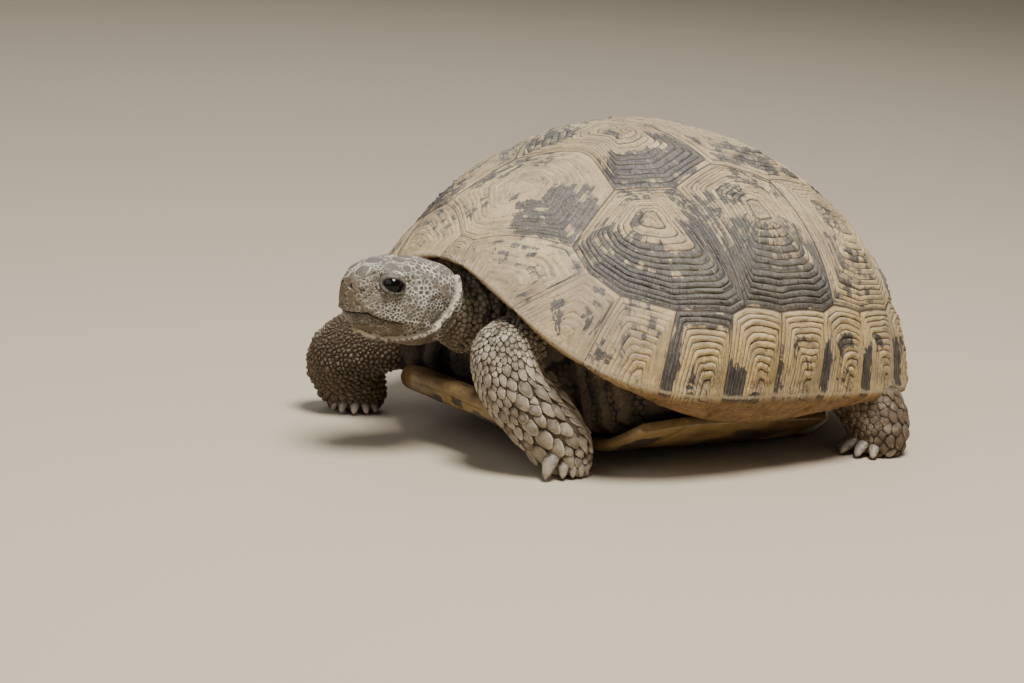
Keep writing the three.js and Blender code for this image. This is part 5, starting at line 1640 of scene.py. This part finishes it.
face_horn = scale_material("head_scale_horn", (0.055, 0.052, 0.047, 1), (0.25, 0.232, 0.2, 1),
                           (0.76, 0.7, 0.58, 1), 0.85, (0.018, 0.016, 0.014, 1), 0.85, 0.36,
                           mud_and_shade=(0.11, 0.081, 0.045, 1), vein=(0.36, 0.32, 0.25, 1), vein_share=0.3,
                           root_shade=0.0, edge_shade=0.0, wall_shade=0.3)
shield_horn = scale_material("head_shield_horn", (0.07, 0.064, 0.056, 1), (0.13, 0.118, 0.1, 1),
                             (0.56, 0.5, 0.38, 1), 0.9, (0.085, 0.08, 0.073, 1), 0.5, 0.32,
                             vein=(0.28, 0.25, 0.2, 1), vein_share=0.3, root_shade=0.0, edge_shade=0.0)
face_spot = in_head(spots)
f, s, u = face_spot.T
face_eye = eye_gap[corners]
face_beak = beak[corners]
mouth_far, _ = near_line(face_spot[:, [0, 2]], MOUTH)
ear_gap = np.hypot(f - EAR[0], (u - EAR[1]) / 1.15)
SHIELDS = [(32.0, 3.0, 8.6, 2.5), (26.8, 0.0, 10.6, 3.0), (29.6, 5.9, 6.4, 1.5), (24.3, 5.9, 9.0, 2.2),
           (35.0, 1.5, 7.2, 1.2), (21.0, 3.6, 10.6, 2.2), (17.0, 0.0, 10.9, 2.4), (20.2, 6.8, 8.6, 1.5)]
shields = []
for ahead, aside, high, radius in SHIELDS:
    for sign in (1, -1) if aside else (1,):
        spot = np.array([ahead, aside * sign, high]) @ head_axes + HEAD_ORIGIN
        shields.append((int(((spots - spot) ** 2).sum(1).argmin()), radius))
head_size = np.full(len(spots), 0.47)
head_size = np.where((u > 2) & (f < 21), 0.58, head_size)
head_size = np.where((u > 7) & (f < 22), 0.8, head_size)
head_size = np.where(u < -7.5, 0.56, head_size)
head_size = np.where((f > 28) & (u > -4), 0.5, head_size)
head_size = np.where(face_eye < 2.6, 0.36, head_size)
head_size = np.where(ear_gap < 3.3, 0.42, head_size)
head_size *= 0.7 + 0.6 * luck.random(len(spots))
for k, radius in shields:
    head_size[k] = radius
on_face = of_part("head") & (f > 1.5) & (face_eye > 2.0) & (face_beak < 0.4)
nostril_far = np.minimum(*(np.hypot(s - aside, u - high) for aside, high in NOSTRILS)) + 100 * (f < 33)
on_face &= (mouth_far > 0.42) | (f < 13)
on_face &= nostril_far > 0.95
on_face &= (near_fold(face_spot, JAW_FOLD) > 1.05) | (abs(s) < 1)
warm = np.maximum(0.65 * np.clip((f - 27) / 4, 0, 1) * np.clip((7 - u) / 3, 0, 1), 0.75
                  * np.clip((-9 - u) / 2.5, 0, 1))
warm = np.maximum(warm, 0.95 * np.clip((mouth_height(f) - u) / 0.8, 0, 1) * np.clip((f - 19) / 4, 0, 1))
shield_roots = np.array([k for k, _ in shields])
grown_scales("scales_head_shields", shield_roots, head_size, -part_lie[shield_roots],
             shield_horn, 50, dome=0.09,
             base=0.22, groove=0.1, conform=1.0, jitter=0.0)
for side, sign in (("left", 1), ("right", -1)):
    roots = scatter(on_face & (s * sign >= 0), head_size, 51 + sign)
    hollow = np.clip(1.2 - u[roots] / 6, 0.35, 1) * (head_size[roots] > 0.5)
    grown_scales(f"scales_head_{side}", roots, head_size, -part_lie[roots], face_horn, 53 + sign,
                 dome=-0.1 * hollow, pit=0.3 * hollow, base=0.26, groove=-0.07, spread=1.7, corners=16.0,
                 mud_and_shade=warm[roots])

# ------------------------------------------------------------------ scales of the neck and folds
# The slack skin of the neck and of the sockets round the legs is set with fine dull granules, so
# that it can fold when the head and legs are drawn in.

GRANULES_EACH = 2050                           # in front of the belly and behind it
# Dark brown granules: partly their own colour, partly painted shade for the shade under the shell's rim.
fold_horn_with_shade = scale_material("fold_granules_with_shade", (0.03, 0.019, 0.01, 1), (0.09, 0.06, 0.033, 1),
                           (0.08, 0.056, 0.032, 1), 0.3, (0.045, 0.031, 0.018, 1), 0.3, 0.5,
                           mud_and_shade=(0.26, 0.21, 0.145, 1),
                           root_shade=0.4, edge_shade=0.3)
fold_size = np.full(len(spots), 0.72)
neck_roots = scatter(of_part("neck", "head") & ~on_face & (f < 4) | of_part("neck"), fold_size, 61)
grown_scales("scales_neck", neck_roots, fold_size, -part_lie[neck_roots], fold_horn_with_shade, 62, dome=0.2, base=0.1,
             groove=0.06, mud_and_shade=0.7)
sockets = ~covered & (best_gap >= 1.25) & (spots[:, 2] > 0.8 - origin[2])
for name, wanted in (("front", spots[:, 1] < -20), ("rear", spots[:, 1] > 28)):
    fold_roots = scatter(sockets & wanted, fold_size * 1.1, 65)[:GRANULES_EACH]
    grown_scales(f"scales_folds_{name}", fold_roots, fold_size * 1.1, part_lie[fold_roots], fold_horn_with_shade, 66,
                 dome=0.08, base=0.04, groove=0.05)

# ------------------------------------------------------------------ floor, light and view
# A plain pale floor under soft light from above, seen from the animal's left front at head height.

floor_net = bmesh.new()
bmesh.ops.create_grid(floor_net, x_segments=1, y_segments=1, size=9.0)
floor_mesh = bpy.data.meshes.new("floor")
floor_net.to_mesh(floor_mesh)
floor_net.free()
floor = bpy.data.objects.new("floor", floor_mesh)
bpy.context.scene.collection.objects.link(floor)
paper = new_material("pale_floor")
paper.node_tree.nodes["Principled BSDF"].inputs["Base Color"].default_value = (0.5, 0.425, 0.32, 1)
paper.node_tree.nodes["Principled BSDF"].inputs["Roughness"].default_value = 0.9
floor_mesh.materials.append(paper)

world = bpy.data.worlds.new("soft_room")
bpy.context.scene.world = world
world.use_nodes = True
world.node_tree.nodes["Background"].inputs["Color"].default_value = (0.93, 0.9, 0.86, 1)
world.node_tree.nodes["Background"].inputs["Strength"].default_value = 0.2

LIGHTS = [
    ("key", 68, 68, 0.9, 0.36, 15.5, (1.0, 0.97, 0.92)),
    ("fill", 5, 32, 1.1, 0.8, 2.2, (0.93, 0.96, 1.0)),
    ("back", -125, 40, 1.1, 0.8, 2.4, (0.95, 0.97, 1.0)),
]
for name, azimuth, elevation, distance, width, power, colour in LIGHTS:
    lamp = bpy.data.lights.new(name, "AREA")
    lamp.shape = "DISK"
    lamp.size = width
    lamp.energy = power
    lamp.color = colour
    holder = bpy.data.objects.new(name, lamp)
    bpy.context.scene.collection.objects.link(holder)
    way = Vector((math.sin(math.radians(azimuth)) * math.cos(math.radians(elevation)),
                  -math.cos(math.radians(azimuth)) * math.cos(math.radians(elevation)),
                  math.sin(math.radians(elevation))))
    holder.location = Vector((0, 0, 0.04)) + way * distance
    holder.rotation_euler = way.to_track_quat("Z", "Y").to_euler()

VIEW_AZIMUTH = math.radians(50.4)
VIEW_ELEVATION = math.radians(12.3)
VIEW_ROLL = math.radians(3.7)
VIEW_DISTANCE = 0.9
VIEW_AIM = Vector((-0.02954, -0.011, 0.02106))
camera_data = bpy.data.cameras.new("view")
camera_data.lens = 106
camera_data.clip_start = 0.01
camera = bpy.data.objects.new("view", camera_data)
bpy.context.scene.collection.objects.link(camera)
bpy.context.scene.camera = camera
back = Vector((math.sin(VIEW_AZIMUTH) * math.cos(VIEW_ELEVATION),
               -math.cos(VIEW_AZIMUTH) * math.cos(VIEW_ELEVATION), math.sin(VIEW_ELEVATION)))
right = Vector((math.cos(VIEW_AZIMUTH), math.sin(VIEW_AZIMUTH), 0))
up = back.cross(right)
rolled_right = right * math.cos(VIEW_ROLL) + up * math.sin(VIEW_ROLL)
rolled_up = up * math.cos(VIEW_ROLL) - right * math.sin(VIEW_ROLL)
camera.matrix_world = Matrix.Translation(VIEW_AIM + back * VIEW_DISTANCE) @ Matrix(
    (rolled_right, rolled_up, back)).transposed().to_4x4()
